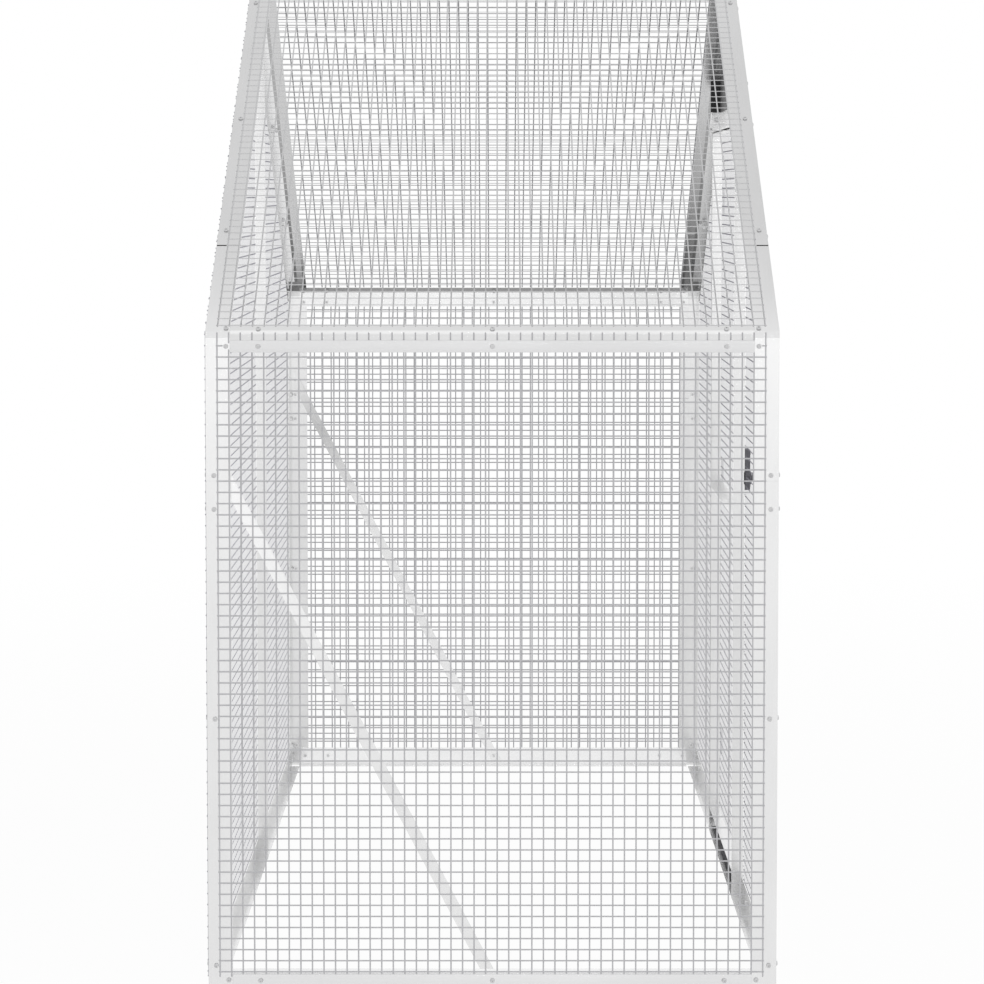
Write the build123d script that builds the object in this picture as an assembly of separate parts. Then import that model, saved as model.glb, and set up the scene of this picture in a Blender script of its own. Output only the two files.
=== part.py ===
"""Walk-in aviary: a gable-roofed aluminium angle frame clad in welded mesh, with a hinged door.

Millimetres. +Z is up, the origin is on the floor under the middle of the frame, the front wall
faces -Y, and the door is in the right gable, at +X.
"""
import os
from dataclasses import dataclass
from math import asin, atan2, cos, hypot, radians, sin, tan

from build123d import *

# Outside of the frame
WIDTH = 1230.0
DEPTH = 2440.0
EAVE_HEIGHT = 1436.0
RIDGE_HEIGHT = 2287.0

# Rolled sections, all from one thickness of sheet
WALL = 2.0
ANGLE_LEG = 53.0
LINER_LEG = 26.0
RAIL_FLANGE = 53.0
RAIL_FOOT = 26.0
EAVE_FLANGE = 44.0
EAVE_LIP = 26.0
RIDGE_LEG = 95.0
KING_LEG = 26.0
STRIP_WIDTH = 26.0
STRIP_THICK = 2.0

# Lengths and ends of the bars
POST_SEAM_HEIGHT = 1114.0
RAFTER_SEAM = 313.0
POST_SEAM_GAP = 1.0
RAFTER_SEAM_GAP = 4.0
RAFTER_TOE = 14.0
LINER_STOP = 50.0
RAFTER_LINER_START = 60.0
END_GAP = 4.0
TOP_GAP = 1.0
BASE_STRIP_LOW = 16.0
BRACE_LOW = 14.0

# Welded mesh, drawn with one gap for several real ones
WIRE = 2.0
NET_PITCH = 78.0
LEFT_NET_PITCH = 130.0
NET_INSET = 27.5
LEFT_NET_INSET = 3.0
NET_BASE_LAP = 6.0
NET_TOP_GAP = 2.0
ROOF_NET_START = 16.0
RIDGE_NET_GAP = 6.0
JAMB_NET_LAP = 13.0
CUTOUT_GAP = 1.0

# Doorway in the right gable
DOORWAY_WIDTH = 718.0
LINTEL_DROP = 105.0
JAMB_FACE = 53.0
LATCH_JAMB_DEPTH = 26.0
HINGE_JAMB_DEPTH = 18.0
LINTEL_FLANGE = 53.0
LINTEL_FOOT = 26.0
PANEL_LAP = 13.0
PANEL_FOLD = 26.0
PANEL_GAP = 1.0
SILL_WIDTH = 12.0
SILL_HEIGHT = 6.0
SILL_INSET = 8.0
SILL_GAP = 2.0

# Door leaf
DOOR_LEG = 26.0
DOOR_CLEAR = 4.0
DOOR_GAP = 1.0
DOOR_NET_INSET = 13.0
MID_RAIL_LOW = 934.0

# Hinges on the rear jamb
HINGE_END = 205.0
HINGE_HEIGHT = 70.0
KNUCKLE_GAP = 0.5
KNUCKLE_RADIUS = 5.0
HINGE_GAP = 4.0
LEAF_THICK = 2.0
DOOR_LEAF_REACH = 26.0
JAMB_LEAF_REACH = 16.0
LEAF_GAP = 0.6
PIN_RADIUS = 2.2
PIN_FIT = 0.05
PIN_HEAD_RADIUS = 3.4
PIN_HEAD_HEIGHT = 1.6

# Slide latch on the front stile
CASE_DEPTH = 14.0
CASE_WIDTH = 34.0
CASE_HEIGHT = 99.0
CASE_RISE = 72.0
CASE_EDGE = 1.0
CASE_WALL = 3.0
CASE_ROUND = 3.0
LATCH_BOLT_RISE = 30.0
LATCH_BOLT_THICK = 6.0
LATCH_BOLT_HEIGHT = 12.0
LATCH_THROW = 14.0
SLIDE_FIT = 0.3
STEM_WIDTH = 6.0
KNOB_WIDTH = 9.0
KNOB_HEIGHT = 20.0
KNOB_REACH = 10.0
KNOB_ROUND = 2.0
KNOB_GAP = 0.4
KEEPER_WIDTH = 14.0
KEEPER_HEIGHT = 28.0
KEEPER_FIT = 1.0

# Bolts, nuts and rivets
BOLT_RADIUS = 3.0
BOLT_HEAD_RADIUS = 5.2
BOLT_HEAD_TOP_RADIUS = 3.8
BOLT_HEAD_HEIGHT = 3.6
BOLT_TAIL = 1.0
NUT_FLATS = 10.0
NUT_HEIGHT = 5.0
NUT_FIT = 0.05
HOLE_FIT = 0.3
HEAD_FIT = 1.0
RIVET_RADIUS = 2.0
RIVET_HEAD_RADIUS = 3.6
RIVET_HEAD_HEIGHT = 1.4

# Where the bolts sit
EDGE_BOLT = 17.0
LAP_BOLT = 9.0
LIP_BOLT = 10.0
RIDGE_BOLT = 48.0
FOOT_BOLT = 61.0
POST_MID_BOLT = 599.0
SEAM_BOLT_BELOW = 61.0
SEAM_BOLT_ABOVE = 12.0
RAFTER_SEAM_BOLT = 57.0
RAFTER_MID_BOLT = 824.0
RAFTER_TOP_BOLT = 135.0
WALL_STRIP_BOLT_END = 60.0
LEFT_STRIP_BOLT_END = 367.0
RIGHT_STRIP_BOLT_END = 150.0
JAMB_BOLT_GAP = 10.0
LINTEL_BOLT_RISE = 35.0
BRACE_NUT_GAP = 1.5
HINGE_RIVET_RISE = 22.0
DOOR_RIVET_REACH = 17.0
JAMB_RIVET_REACH = 11.0
CASE_RIVET_END = 10.0

# Worked out from the sizes above
HALF_WIDTH = WIDTH / 2
HALF_DEPTH = DEPTH / 2
PITCH = atan2(RIDGE_HEIGHT - EAVE_HEIGHT, HALF_DEPTH)
SLOPE = hypot(HALF_DEPTH, RIDGE_HEIGHT - EAVE_HEIGHT)
POST_TOP = EAVE_HEIGHT - RAFTER_TOE
RAIL_END = WALL + LINER_LEG + END_GAP
BASE_BOLT_HEIGHT = BASE_STRIP_LOW + STRIP_WIDTH / 2
EAVE_FOLD_HEIGHT = EAVE_HEIGHT + WALL * tan(PITCH) - WALL / cos(PITCH)
EAVE_STRIP_LOW = EAVE_FOLD_HEIGHT - EAVE_FLANGE
EAVE_BOLT_HEIGHT = EAVE_STRIP_LOW + STRIP_WIDTH / 2
WALL_STRIP_REACH = HALF_WIDTH - ANGLE_LEG
GABLE_STRIP_REACH = HALF_DEPTH - ANGLE_LEG
NET_LOW = BASE_STRIP_LOW + STRIP_WIDTH - NET_BASE_LAP
SEAM_BOLT_HIGH = POST_SEAM_HEIGHT + SEAM_BOLT_ABOVE
POST_BOLTS = (FOOT_BOLT, POST_MID_BOLT, POST_SEAM_HEIGHT - SEAM_BOLT_BELOW, SEAM_BOLT_HIGH)
RAFTER_BOLTS = (RAFTER_SEAM + RAFTER_SEAM_BOLT, RAFTER_MID_BOLT, SLOPE - RAFTER_TOP_BOLT)
JAMB_EDGE = DOORWAY_WIDTH / 2
JAMB_FAR = JAMB_EDGE + JAMB_FACE
JAMB_MIDDLE = JAMB_EDGE + JAMB_FACE / 2
PANEL_REACH = JAMB_EDGE - PANEL_GAP
DOORWAY_TOP = RIDGE_HEIGHT - JAMB_FAR * tan(PITCH) - LINTEL_DROP
DOOR_LAP = DOOR_LEG - DOOR_CLEAR - WALL
DOOR_HALF = JAMB_EDGE + DOOR_LAP
DOOR_LOW = RAIL_FLANGE - DOOR_LAP
DOOR_HIGH = DOORWAY_TOP + DOOR_LAP
DOOR_BACK = HALF_WIDTH - WALL + DOOR_GAP
DOOR_FACE = DOOR_BACK + WALL
JAMB_OUTER = HALF_WIDTH - 2 * WALL
HINGE_X = DOOR_FACE + KNUCKLE_RADIUS
HINGE_Y = DOOR_HALF + HINGE_GAP / 2
HINGE_LEVELS = (DOOR_LOW + HINGE_END, (DOOR_LOW + DOOR_HIGH) / 2, DOOR_HIGH - HINGE_END)
KNUCKLE_HEIGHT = (HINGE_HEIGHT - 2 * KNUCKLE_GAP) / 3
CASE_LOW = MID_RAIL_LOW + CASE_RISE
CASE_FACE = DOOR_FACE + CASE_DEPTH
CASE_FRONT = -DOOR_HALF + CASE_EDGE
LATCH_LEVEL = CASE_LOW + LATCH_BOLT_RISE
LATCH_X = DOOR_FACE + CASE_DEPTH / 2
LATCH_TIP = CASE_FRONT + CASE_EDGE
LATCH_BOLT_LENGTH = CASE_WIDTH - CASE_EDGE - SLIDE_FIT - CASE_WALL
NUT_RADIUS = NUT_FLATS / 2 / cos(radians(30))

SIDES_X = (("left", -1), ("right", 1))
SIDES_Y = (("front", -1), ("rear", 1))

# Outer faces of the frame: u runs along the wall, v runs up it, z points outwards
FRONT = Plane((0, -HALF_DEPTH, 0), x_dir=(1, 0, 0), z_dir=(0, -1, 0))
REAR = Plane((0, HALF_DEPTH, 0), x_dir=(-1, 0, 0), z_dir=(0, 1, 0))
LEFT = Plane((-HALF_WIDTH, 0, 0), x_dir=(0, -1, 0), z_dir=(-1, 0, 0))
RIGHT = Plane((HALF_WIDTH, 0, 0), x_dir=(0, 1, 0), z_dir=(1, 0, 0))
ROOF_FRONT = Plane((0, -HALF_DEPTH, EAVE_HEIGHT), x_dir=(1, 0, 0), z_dir=(0, -sin(PITCH), cos(PITCH)))
ROOF_REAR = Plane((0, HALF_DEPTH, EAVE_HEIGHT), x_dir=(-1, 0, 0), z_dir=(0, sin(PITCH), cos(PITCH)))
WALLS = {-1: FRONT, 1: REAR}
GABLES = {-1: LEFT, 1: RIGHT}
ROOFS = {-1: ROOF_FRONT, 1: ROOF_REAR}


@dataclass(frozen=True)
class Fastener:
    """A bolt or rivet: the point under its head, the way its shank runs, and what it clamps."""

    seat: Vector
    drive: Vector
    grip: float


# Plain shapes

def prism(points, along):
    """Solid swept from a flat outline of points by the vector along."""
    return Solid.extrude(Face(Wire.make_polygon(points)), Vector(along))


def plate(plane, outline, low, high):
    """Flat piece on a plane, between two heights over it."""
    points = [plane.from_local_coords((u, v, low)) for u, v in outline]
    return prism(points, plane.z_dir * (high - low))


def rectangle(u_low, v_low, u_high, v_high):
    """Corners of an upright rectangle."""
    return [(u_low, v_low), (u_high, v_low), (u_high, v_high), (u_low, v_high)]


def block(low, high):
    """Square-edged block between two opposite corners."""
    (x_low, y_low, z_low), (x_high, y_high, z_high) = low, high
    return plate(Plane.XY, rectangle(x_low, y_low, x_high, y_high), z_low, z_high)


def rod(start, along, radius, length):
    """Round bar from a point along a unit vector."""
    return Solid.make_cylinder(radius, length, Plane(start, z_dir=along))


def angle_bar(corner, along, side_a, leg_a, side_b, leg_b):
    """L-section bar whose outer corner runs from a point by the vector along."""
    outline = [(0, 0), (leg_a, 0), (leg_a, WALL), (WALL, WALL), (WALL, leg_b), (0, leg_b)]
    points = [Vector(corner) + Vector(side_a) * a + Vector(side_b) * b for a, b in outline]
    return prism(points, along)


def below(shape, plane):
    """The part of a shape behind a plane."""
    return shape.split(plane, keep=Keep.BOTTOM)


def above(shape, plane):
    """The part of a shape in front of a plane."""
    return shape.split(plane, keep=Keep.TOP)


# Roof geometry; y_side is -1 for the front slope and 1 for the rear one

def up_slope(y_side):
    """Unit vector up a slope."""
    return Vector(0, -y_side * cos(PITCH), sin(PITCH))


def into_roof(y_side):
    """Unit vector square to a slope, pointing inside."""
    return Vector(0, -y_side * sin(PITCH), -cos(PITCH))


def roof_point(x, y_side, along, inside=0.0):
    """Point a distance up a slope from the eave edge, and a depth inside the roof."""
    eave = Vector(x, y_side * HALF_DEPTH, EAVE_HEIGHT)
    return eave + up_slope(y_side) * along + into_roof(y_side) * inside


def roof_height(y, inside=0.0):
    """Height of the roof over a point of the gable, at a depth inside the roof."""
    return RIDGE_HEIGHT - abs(y) * tan(PITCH) - inside / cos(PITCH)


def slope_at(y, inside):
    """Distance up the slope of the point at a depth inside the roof that stands over y."""
    return (HALF_DEPTH - abs(y) - inside * sin(PITCH)) / cos(PITCH)


def eave_mitre(y_side):
    """Plane that halves the corner between a wall and its slope, facing the roof."""
    normal = (0, -y_side * (1 - sin(PITCH)), cos(PITCH))
    return Plane((0, y_side * HALF_DEPTH, EAVE_HEIGHT), x_dir=(1, 0, 0), z_dir=normal)


def ridge_mitre(y_side):
    """Upright plane under the ridge, facing the other slope."""
    return Plane((0, 0, 0), x_dir=(1, 0, 0), z_dir=(0, -y_side, 0))


def under_liner(y_side):
    """Plane just under the rafter liners of a slope."""
    roof = ROOFS[y_side]
    return roof.offset(-(2 * WALL + TOP_GAP))


# Fasteners: where each bolt sits

def post_bolts():
    """Bolts that hold the posts to their liners."""
    found = []
    for _, x_side in SIDES_X:
        for _, y_side in SIDES_Y:
            for level in POST_BOLTS:
                wall_seat = Vector(x_side * (HALF_WIDTH - EDGE_BOLT), y_side * HALF_DEPTH, level)
                gable_seat = Vector(x_side * HALF_WIDTH, y_side * (HALF_DEPTH - EDGE_BOLT), level)
                found.append(Fastener(wall_seat, Vector(0, -y_side, 0), 2 * WALL))
                found.append(Fastener(gable_seat, Vector(-x_side, 0, 0), 2 * WALL))
    return found


def rafter_bolts():
    """Bolts that hold the rafters to their liners, and the apex panel where it lies behind them."""
    found = []
    for _, x_side in SIDES_X:
        for _, y_side in SIDES_Y:
            for along in RAFTER_BOLTS:
                roof_seat = roof_point(x_side * (HALF_WIDTH - EDGE_BOLT), y_side, along)
                gable_seat = roof_point(x_side * HALF_WIDTH, y_side, along, EDGE_BOLT)
                backed = x_side > 0 and abs(gable_seat.Y) < JAMB_FAR
                gable_grip = 3 * WALL if backed else 2 * WALL
                found.append(Fastener(roof_seat, into_roof(y_side), 2 * WALL))
                found.append(Fastener(gable_seat, Vector(-x_side, 0, 0), gable_grip))
    return found


def lap_bolts():
    """Bolts where rails end behind a post or under a rafter."""
    reach = ANGLE_LEG - LAP_BOLT
    found = []
    for _, x_side in SIDES_X:
        for _, y_side in SIDES_Y:
            x = x_side * (HALF_WIDTH - reach)
            wall_drive = Vector(0, -y_side, 0)
            for level in (BASE_BOLT_HEIGHT, EAVE_BOLT_HEIGHT):
                found.append(Fastener(Vector(x, y_side * HALF_DEPTH, level), wall_drive, 2 * WALL))
            gable_seat = Vector(x_side * HALF_WIDTH, y_side * (HALF_DEPTH - reach), BASE_BOLT_HEIGHT)
            found.append(Fastener(gable_seat, Vector(-x_side, 0, 0), 2 * WALL))
            for along in (LIP_BOLT, SLOPE - RIDGE_BOLT):
                found.append(Fastener(roof_point(x, y_side, along), into_roof(y_side), 2 * WALL))
    return found


def strip_bolts():
    """Bolts through the clamp strips, and through the roof lips of the eave rails."""
    cover = WIRE + STRIP_THICK
    grip = cover + 2 * WALL
    spread = WALL_STRIP_REACH - WALL_STRIP_BOLT_END
    left_y = GABLE_STRIP_REACH - LEFT_STRIP_BOLT_END
    found = []
    for _, y_side in SIDES_Y:
        for x in (-spread, 0, spread):
            y = y_side * (HALF_DEPTH + cover)
            drive = Vector(0, -y_side, 0)
            base_grip = grip + WALL if x == 0 else grip
            found.append(Fastener(Vector(x, y, BASE_BOLT_HEIGHT), drive, base_grip))
            found.append(Fastener(Vector(x, y, EAVE_BOLT_HEIGHT), drive, grip))
            lip_seat = roof_point(x, y_side, LIP_BOLT, WALL)
            found.append(Fastener(lip_seat, into_roof(y_side), WALL))
        left_seat = Vector(-HALF_WIDTH - cover, y_side * left_y, BASE_BOLT_HEIGHT)
        found.append(Fastener(left_seat, Vector(1, 0, 0), grip))
        for y in (JAMB_FAR + RIGHT_STRIP_BOLT_END, GABLE_STRIP_REACH - RIGHT_STRIP_BOLT_END):
            right_seat = Vector(HALF_WIDTH + cover, y_side * y, BASE_BOLT_HEIGHT)
            found.append(Fastener(right_seat, Vector(-1, 0, 0), grip))
    king_seat = Vector(-HALF_WIDTH - cover, KING_LEG / 2, BASE_BOLT_HEIGHT)
    found.append(Fastener(king_seat, Vector(1, 0, 0), grip + WALL))
    return found


def gable_bolts():
    """Bolts of the king post, the door jambs and the lintel."""
    king_y = KING_LEG / 2
    king_seat = roof_point(-HALF_WIDTH, 1, slope_at(king_y, EDGE_BOLT), EDGE_BOLT)
    found = [Fastener(king_seat, Vector(1, 0, 0), 3 * WALL)]
    inward = Vector(-1, 0, 0)
    for _, y_side in SIDES_Y:
        foot = Vector(HALF_WIDTH - WALL, y_side * (DOOR_HALF + JAMB_BOLT_GAP), BASE_BOLT_HEIGHT)
        head = roof_point(HALF_WIDTH, y_side, slope_at(JAMB_MIDDLE, EDGE_BOLT), EDGE_BOLT)
        lintel = Vector(JAMB_OUTER, y_side * JAMB_MIDDLE, DOORWAY_TOP + LINTEL_BOLT_RISE)
        found.append(Fastener(foot, inward, 2 * WALL))
        found.append(Fastener(head, inward, 3 * WALL))
        found.append(Fastener(lintel, inward, 2 * WALL))
    return found


def brace_line():
    """Lean of the braces, and the height where their middle line crosses the post bolts.

    A brace starts at the middle bolt of the base strip and passes over the nut of the seam bolt.
    """
    across = HALF_WIDTH - EDGE_BOLT
    rise = SEAM_BOLT_HIGH - BASE_BOLT_HEIGHT
    clear = STRIP_WIDTH / 2 + NUT_RADIUS + BRACE_NUT_GAP
    lean = atan2(rise, across) + asin(clear / hypot(across, rise))
    return lean, BASE_BOLT_HEIGHT + across * tan(lean)


def brace_rivets():
    """Rivets that hold the tops of the braces to the post liners."""
    _, level = brace_line()
    x = -HALF_WIDTH + EDGE_BOLT
    found = []
    for _, y_side in SIDES_Y:
        seat = Vector(x, y_side * (HALF_DEPTH - 3 * WALL), level)
        found.append(Fastener(seat, Vector(0, y_side, 0), 2 * WALL))
    return found


def jamb_rivets():
    """Rivets of the hinge leaves and of the keeper on the jambs."""
    inward = Vector(-1, 0, 0)
    leaf_face = DOOR_FACE + LEAF_THICK
    found = []
    for level in HINGE_LEVELS:
        for rise in (-HINGE_RIVET_RISE, HINGE_RIVET_RISE):
            seat = Vector(leaf_face, HINGE_Y + JAMB_RIVET_REACH, level + rise)
            found.append(Fastener(seat, inward, leaf_face - JAMB_OUTER + WALL))
    for rise in (-1, 1):
        offset = (KEEPER_HEIGHT + LATCH_BOLT_HEIGHT) / 4 + KEEPER_FIT / 2
        seat = Vector(CASE_FACE, keeper_span()[0] + KEEPER_WIDTH / 2, LATCH_LEVEL + rise * offset)
        found.append(Fastener(seat, inward, CASE_FACE - JAMB_OUTER + WALL))
    return found


def door_rivets():
    """Rivets of the hinge leaves and of the latch case on the door stiles."""
    inward = Vector(-1, 0, 0)
    leaf_face = DOOR_FACE + LEAF_THICK
    found = []
    for level in HINGE_LEVELS:
        for rise in (-HINGE_RIVET_RISE, HINGE_RIVET_RISE):
            seat = Vector(leaf_face, HINGE_Y - DOOR_RIVET_REACH, level + rise)
            found.append(Fastener(seat, inward, LEAF_THICK + WALL))
    for level in (CASE_LOW + CASE_RIVET_END, CASE_LOW + CASE_HEIGHT - CASE_RIVET_END):
        seat = Vector(CASE_FACE, -DOOR_HALF + DOOR_LEG / 2, level)
        found.append(Fastener(seat, inward, CASE_DEPTH + WALL))
    return found


BOLTS = post_bolts() + rafter_bolts() + lap_bolts() + strip_bolts() + gable_bolts()


def bolt(fastener):
    """Dome-headed bolt."""
    start = fastener.seat - fastener.drive * BOLT_HEAD_HEIGHT
    head = Solid.make_cone(
        BOLT_HEAD_TOP_RADIUS, BOLT_HEAD_RADIUS, BOLT_HEAD_HEIGHT, Plane(start, z_dir=fastener.drive)
    )
    length = fastener.grip + NUT_HEIGHT + BOLT_TAIL
    return head.fuse(rod(fastener.seat, fastener.drive, BOLT_RADIUS, length))


def nut(fastener):
    """Hexagon nut on the end of a bolt."""
    seat = Plane(fastener.seat + fastener.drive * fastener.grip, z_dir=fastener.drive)
    turns = [radians(60 * corner) for corner in range(6)]
    outline = [(NUT_RADIUS * cos(turn), NUT_RADIUS * sin(turn)) for turn in turns]
    bore = rod(seat.origin, fastener.drive, BOLT_RADIUS + NUT_FIT, NUT_HEIGHT)
    return plate(seat, outline, 0, NUT_HEIGHT).cut(bore)


def rivet(fastener):
    """Flat-headed rivet that ends flush with what it clamps."""
    start = fastener.seat - fastener.drive * RIVET_HEAD_HEIGHT
    head = rod(start, fastener.drive, RIVET_HEAD_RADIUS, RIVET_HEAD_HEIGHT)
    return head.fuse(rod(fastener.seat, fastener.drive, RIVET_RADIUS, fastener.grip))


def reaches(box, fastener, length):
    """Whether the middle line of a fastener passes near a bounding box."""
    ends = (fastener.seat, fastener.seat + fastener.drive * length)
    spans = ((box.min.X, box.max.X, 0), (box.min.Y, box.max.Y, 1), (box.min.Z, box.max.Z, 2))
    for low, high, axis in spans:
        values = [tuple(end)[axis] for end in ends]
        if max(values) < low - BOLT_HEAD_RADIUS or min(values) > high + BOLT_HEAD_RADIUS:
            return False
    return True


def drilled(shape, fasteners=BOLTS, radius=BOLT_RADIUS + HOLE_FIT):
    """A shape with a clearance hole for each fastener that passes through it."""
    box = shape.bounding_box()
    near = [f for f in fasteners if reaches(box, f, f.grip)]
    if not near:
        return shape
    holes = [rod(f.seat - f.drive * HEAD_FIT, f.drive, radius, f.grip + 2 * HEAD_FIT) for f in near]
    return shape.cut(*holes)


def riveted(shape, fasteners):
    """A shape with a hole for each rivet that passes through it."""
    return drilled(shape, fasteners, RIVET_RADIUS + HOLE_FIT)


# Frame

def corner_angle(x_side, y_side, low, high):
    """Upright angle at a corner of the frame, cut to the mitre where it comes up to it."""
    corner = (x_side * HALF_WIDTH, y_side * HALF_DEPTH, low)
    bar = angle_bar(corner, (0, 0, high - low), (-x_side, 0, 0), ANGLE_LEG, (0, -y_side, 0), ANGLE_LEG)
    return below(bar, eave_mitre(y_side))


def posts():
    """Corner posts, each in two lengths."""
    parts = {}
    for x_name, x_side in SIDES_X:
        for y_name, y_side in SIDES_Y:
            spans = {
                "lower": (0.0, POST_SEAM_HEIGHT - POST_SEAM_GAP / 2),
                "upper": (POST_SEAM_HEIGHT + POST_SEAM_GAP / 2, POST_TOP),
            }
            for length_name, (low, high) in spans.items():
                bar = corner_angle(x_side, y_side, low, high)
                parts[f"post_{y_name}_{x_name}_{length_name}"] = drilled(bar)
    return parts


def post_liners():
    """Narrow angles nested in the posts, which carry the seams."""
    bars = []
    for _, x_side in SIDES_X:
        for _, y_side in SIDES_Y:
            corner = (x_side * (HALF_WIDTH - WALL), y_side * (HALF_DEPTH - WALL), 0)
            along = (0, 0, EAVE_HEIGHT - LINER_STOP)
            bar = angle_bar(corner, along, (-x_side, 0, 0), LINER_LEG, (0, -y_side, 0), LINER_LEG)
            bars.append(riveted(drilled(bar), brace_rivets()))
    return bars


def rafters():
    """Rafters, each in two lengths, mitred at the ridge, with a short toe bent down onto the post."""
    parts = {}
    for x_name, x_side in SIDES_X:
        for y_name, y_side in SIDES_Y:
            spans = {
                "lower": (-ANGLE_LEG, RAFTER_SEAM - RAFTER_SEAM_GAP / 2),
                "upper": (RAFTER_SEAM + RAFTER_SEAM_GAP / 2, SLOPE + ANGLE_LEG),
            }
            for length_name, (low, high) in spans.items():
                corner = roof_point(x_side * HALF_WIDTH, y_side, low)
                along = up_slope(y_side) * (high - low)
                bar = angle_bar(corner, along, (-x_side, 0, 0), ANGLE_LEG, into_roof(y_side), ANGLE_LEG)
                bar = above(bar, eave_mitre(y_side))
                bar = below(bar, ridge_mitre(y_side))
                if length_name == "lower":
                    bar = bar.fuse(corner_angle(x_side, y_side, POST_TOP, EAVE_HEIGHT))
                parts[f"rafter_{y_name}_{x_name}_{length_name}"] = drilled(bar)
    return parts


def rafter_liners():
    """Narrow angles nested in the rafters."""
    bars = []
    for _, x_side in SIDES_X:
        for _, y_side in SIDES_Y:
            corner = roof_point(x_side * (HALF_WIDTH - WALL), y_side, RAFTER_LINER_START, WALL)
            along = up_slope(y_side) * (SLOPE - RAFTER_LINER_START + LINER_LEG)
            bar = angle_bar(corner, along, (-x_side, 0, 0), LINER_LEG, into_roof(y_side), LINER_LEG)
            bars.append(drilled(below(bar, ridge_mitre(y_side))))
    return bars


def rail_length():
    """Vector along a rail that runs from the left posts to the right ones."""
    return Vector(2 * (HALF_WIDTH - RAIL_END), 0, 0)


def eave_rail(y_side):
    """Folded rail behind the top of a wall, with a lip under the roof mesh."""
    x = -(HALF_WIDTH - RAIL_END)
    y_outer = y_side * (HALF_DEPTH - WALL)
    y_inner = y_side * (HALF_DEPTH - 2 * WALL)
    fold = Vector(x, y_outer, EAVE_FOLD_HEIGHT)
    fold_inner = Vector(x, y_inner, roof_height(y_inner, 2 * WALL))
    lip = fold + up_slope(y_side) * EAVE_LIP
    points = [
        Vector(x, y_outer, EAVE_STRIP_LOW),
        fold,
        lip,
        lip + into_roof(y_side) * WALL,
        fold_inner,
        Vector(x, y_inner, EAVE_STRIP_LOW),
    ]
    return drilled(prism(points, rail_length()))


def ridge_rail():
    """Folded rail under the ridge."""
    x = -(HALF_WIDTH - RAIL_END)
    points = [Vector(x, 0, RIDGE_HEIGHT - WALL / cos(PITCH))]
    front_end = points[0] - up_slope(-1) * RIDGE_LEG
    rear_end = points[0] - up_slope(1) * RIDGE_LEG
    points.append(front_end)
    points.append(front_end + into_roof(-1) * WALL)
    points.append(Vector(x, 0, RIDGE_HEIGHT - 2 * WALL / cos(PITCH)))
    points.append(rear_end + into_roof(1) * WALL)
    points.append(rear_end)
    return drilled(prism(points, rail_length()))


def base_rails():
    """Angle rails on the floor, between the post liners."""
    parts = {}
    up = (0, 0, 1)
    for name, y_side in SIDES_Y:
        corner = (-(HALF_WIDTH - RAIL_END), y_side * (HALF_DEPTH - WALL), 0)
        bar = angle_bar(corner, rail_length(), up, RAIL_FLANGE, (0, -y_side, 0), RAIL_FOOT)
        parts[f"base_rail_{name}"] = drilled(bar)
    for name, x_side in SIDES_X:
        corner = (x_side * (HALF_WIDTH - WALL), -(HALF_DEPTH - RAIL_END), 0)
        along = (0, 2 * (HALF_DEPTH - RAIL_END), 0)
        bar = angle_bar(corner, along, up, RAIL_FLANGE, (-x_side, 0, 0), RAIL_FOOT)
        parts[f"base_rail_{name}"] = drilled(bar)
    return parts


def clamp_strip(plane, u_low, u_high, v_low):
    """Flat bar that clamps the edge of a mesh panel to a rail."""
    outline = rectangle(u_low, v_low, u_high, v_low + STRIP_WIDTH)
    return drilled(plate(plane, outline, WIRE, WIRE + STRIP_THICK))


def eave_strips():
    """Clamp strips under the eaves."""
    reach = WALL_STRIP_REACH
    return [clamp_strip(plane, -reach, reach, EAVE_STRIP_LOW) for plane in (FRONT, REAR)]


def base_strips():
    """Clamp strips along the floor, with a gap at the doorway."""
    return [
        clamp_strip(FRONT, -WALL_STRIP_REACH, WALL_STRIP_REACH, BASE_STRIP_LOW),
        clamp_strip(REAR, -WALL_STRIP_REACH, WALL_STRIP_REACH, BASE_STRIP_LOW),
        clamp_strip(LEFT, -GABLE_STRIP_REACH, GABLE_STRIP_REACH, BASE_STRIP_LOW),
        clamp_strip(RIGHT, -GABLE_STRIP_REACH, -JAMB_FAR, BASE_STRIP_LOW),
        clamp_strip(RIGHT, JAMB_FAR, GABLE_STRIP_REACH, BASE_STRIP_LOW),
    ]


def brace(y_side):
    """Flat diagonal bar from the left post to the middle of the base rail."""
    lean, _ = brace_line()
    half = STRIP_WIDTH / 2
    foot_half = half / sin(lean)
    head_half = half / cos(lean)
    head_x = HALF_WIDTH - 3 * WALL
    foot_x = (BRACE_LOW - BASE_BOLT_HEIGHT) / tan(lean)
    head_level = BASE_BOLT_HEIGHT + head_x * tan(lean)
    toward_left = y_side
    outline = [
        (toward_left * (foot_x - foot_half), BRACE_LOW),
        (toward_left * (foot_x + foot_half), BRACE_LOW),
        (toward_left * head_x, head_level - head_half),
        (toward_left * head_x, head_level + head_half),
    ]
    bar = plate(WALLS[y_side], outline, -3 * WALL, -2 * WALL)
    return riveted(drilled(bar), brace_rivets())


def king_post():
    """Upright angle in the middle of the left gable."""
    corner = (-JAMB_OUTER, 0, WALL)
    along = (0, 0, RIDGE_HEIGHT)
    bar = angle_bar(corner, along, (0, 1, 0), KING_LEG, (1, 0, 0), KING_LEG)
    return drilled(below(bar, under_liner(1)))


def door_jamb(y_side):
    """Upright angle beside the doorway, from the base rail to the rafter."""
    corner = (JAMB_OUTER, y_side * JAMB_FAR, WALL)
    along = (0, 0, RIDGE_HEIGHT)
    depth = HINGE_JAMB_DEPTH if y_side > 0 else LATCH_JAMB_DEPTH
    bar = angle_bar(corner, along, (0, -y_side, 0), JAMB_FACE, (-1, 0, 0), depth)
    return riveted(drilled(below(bar, under_liner(y_side))), jamb_rivets())


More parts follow.
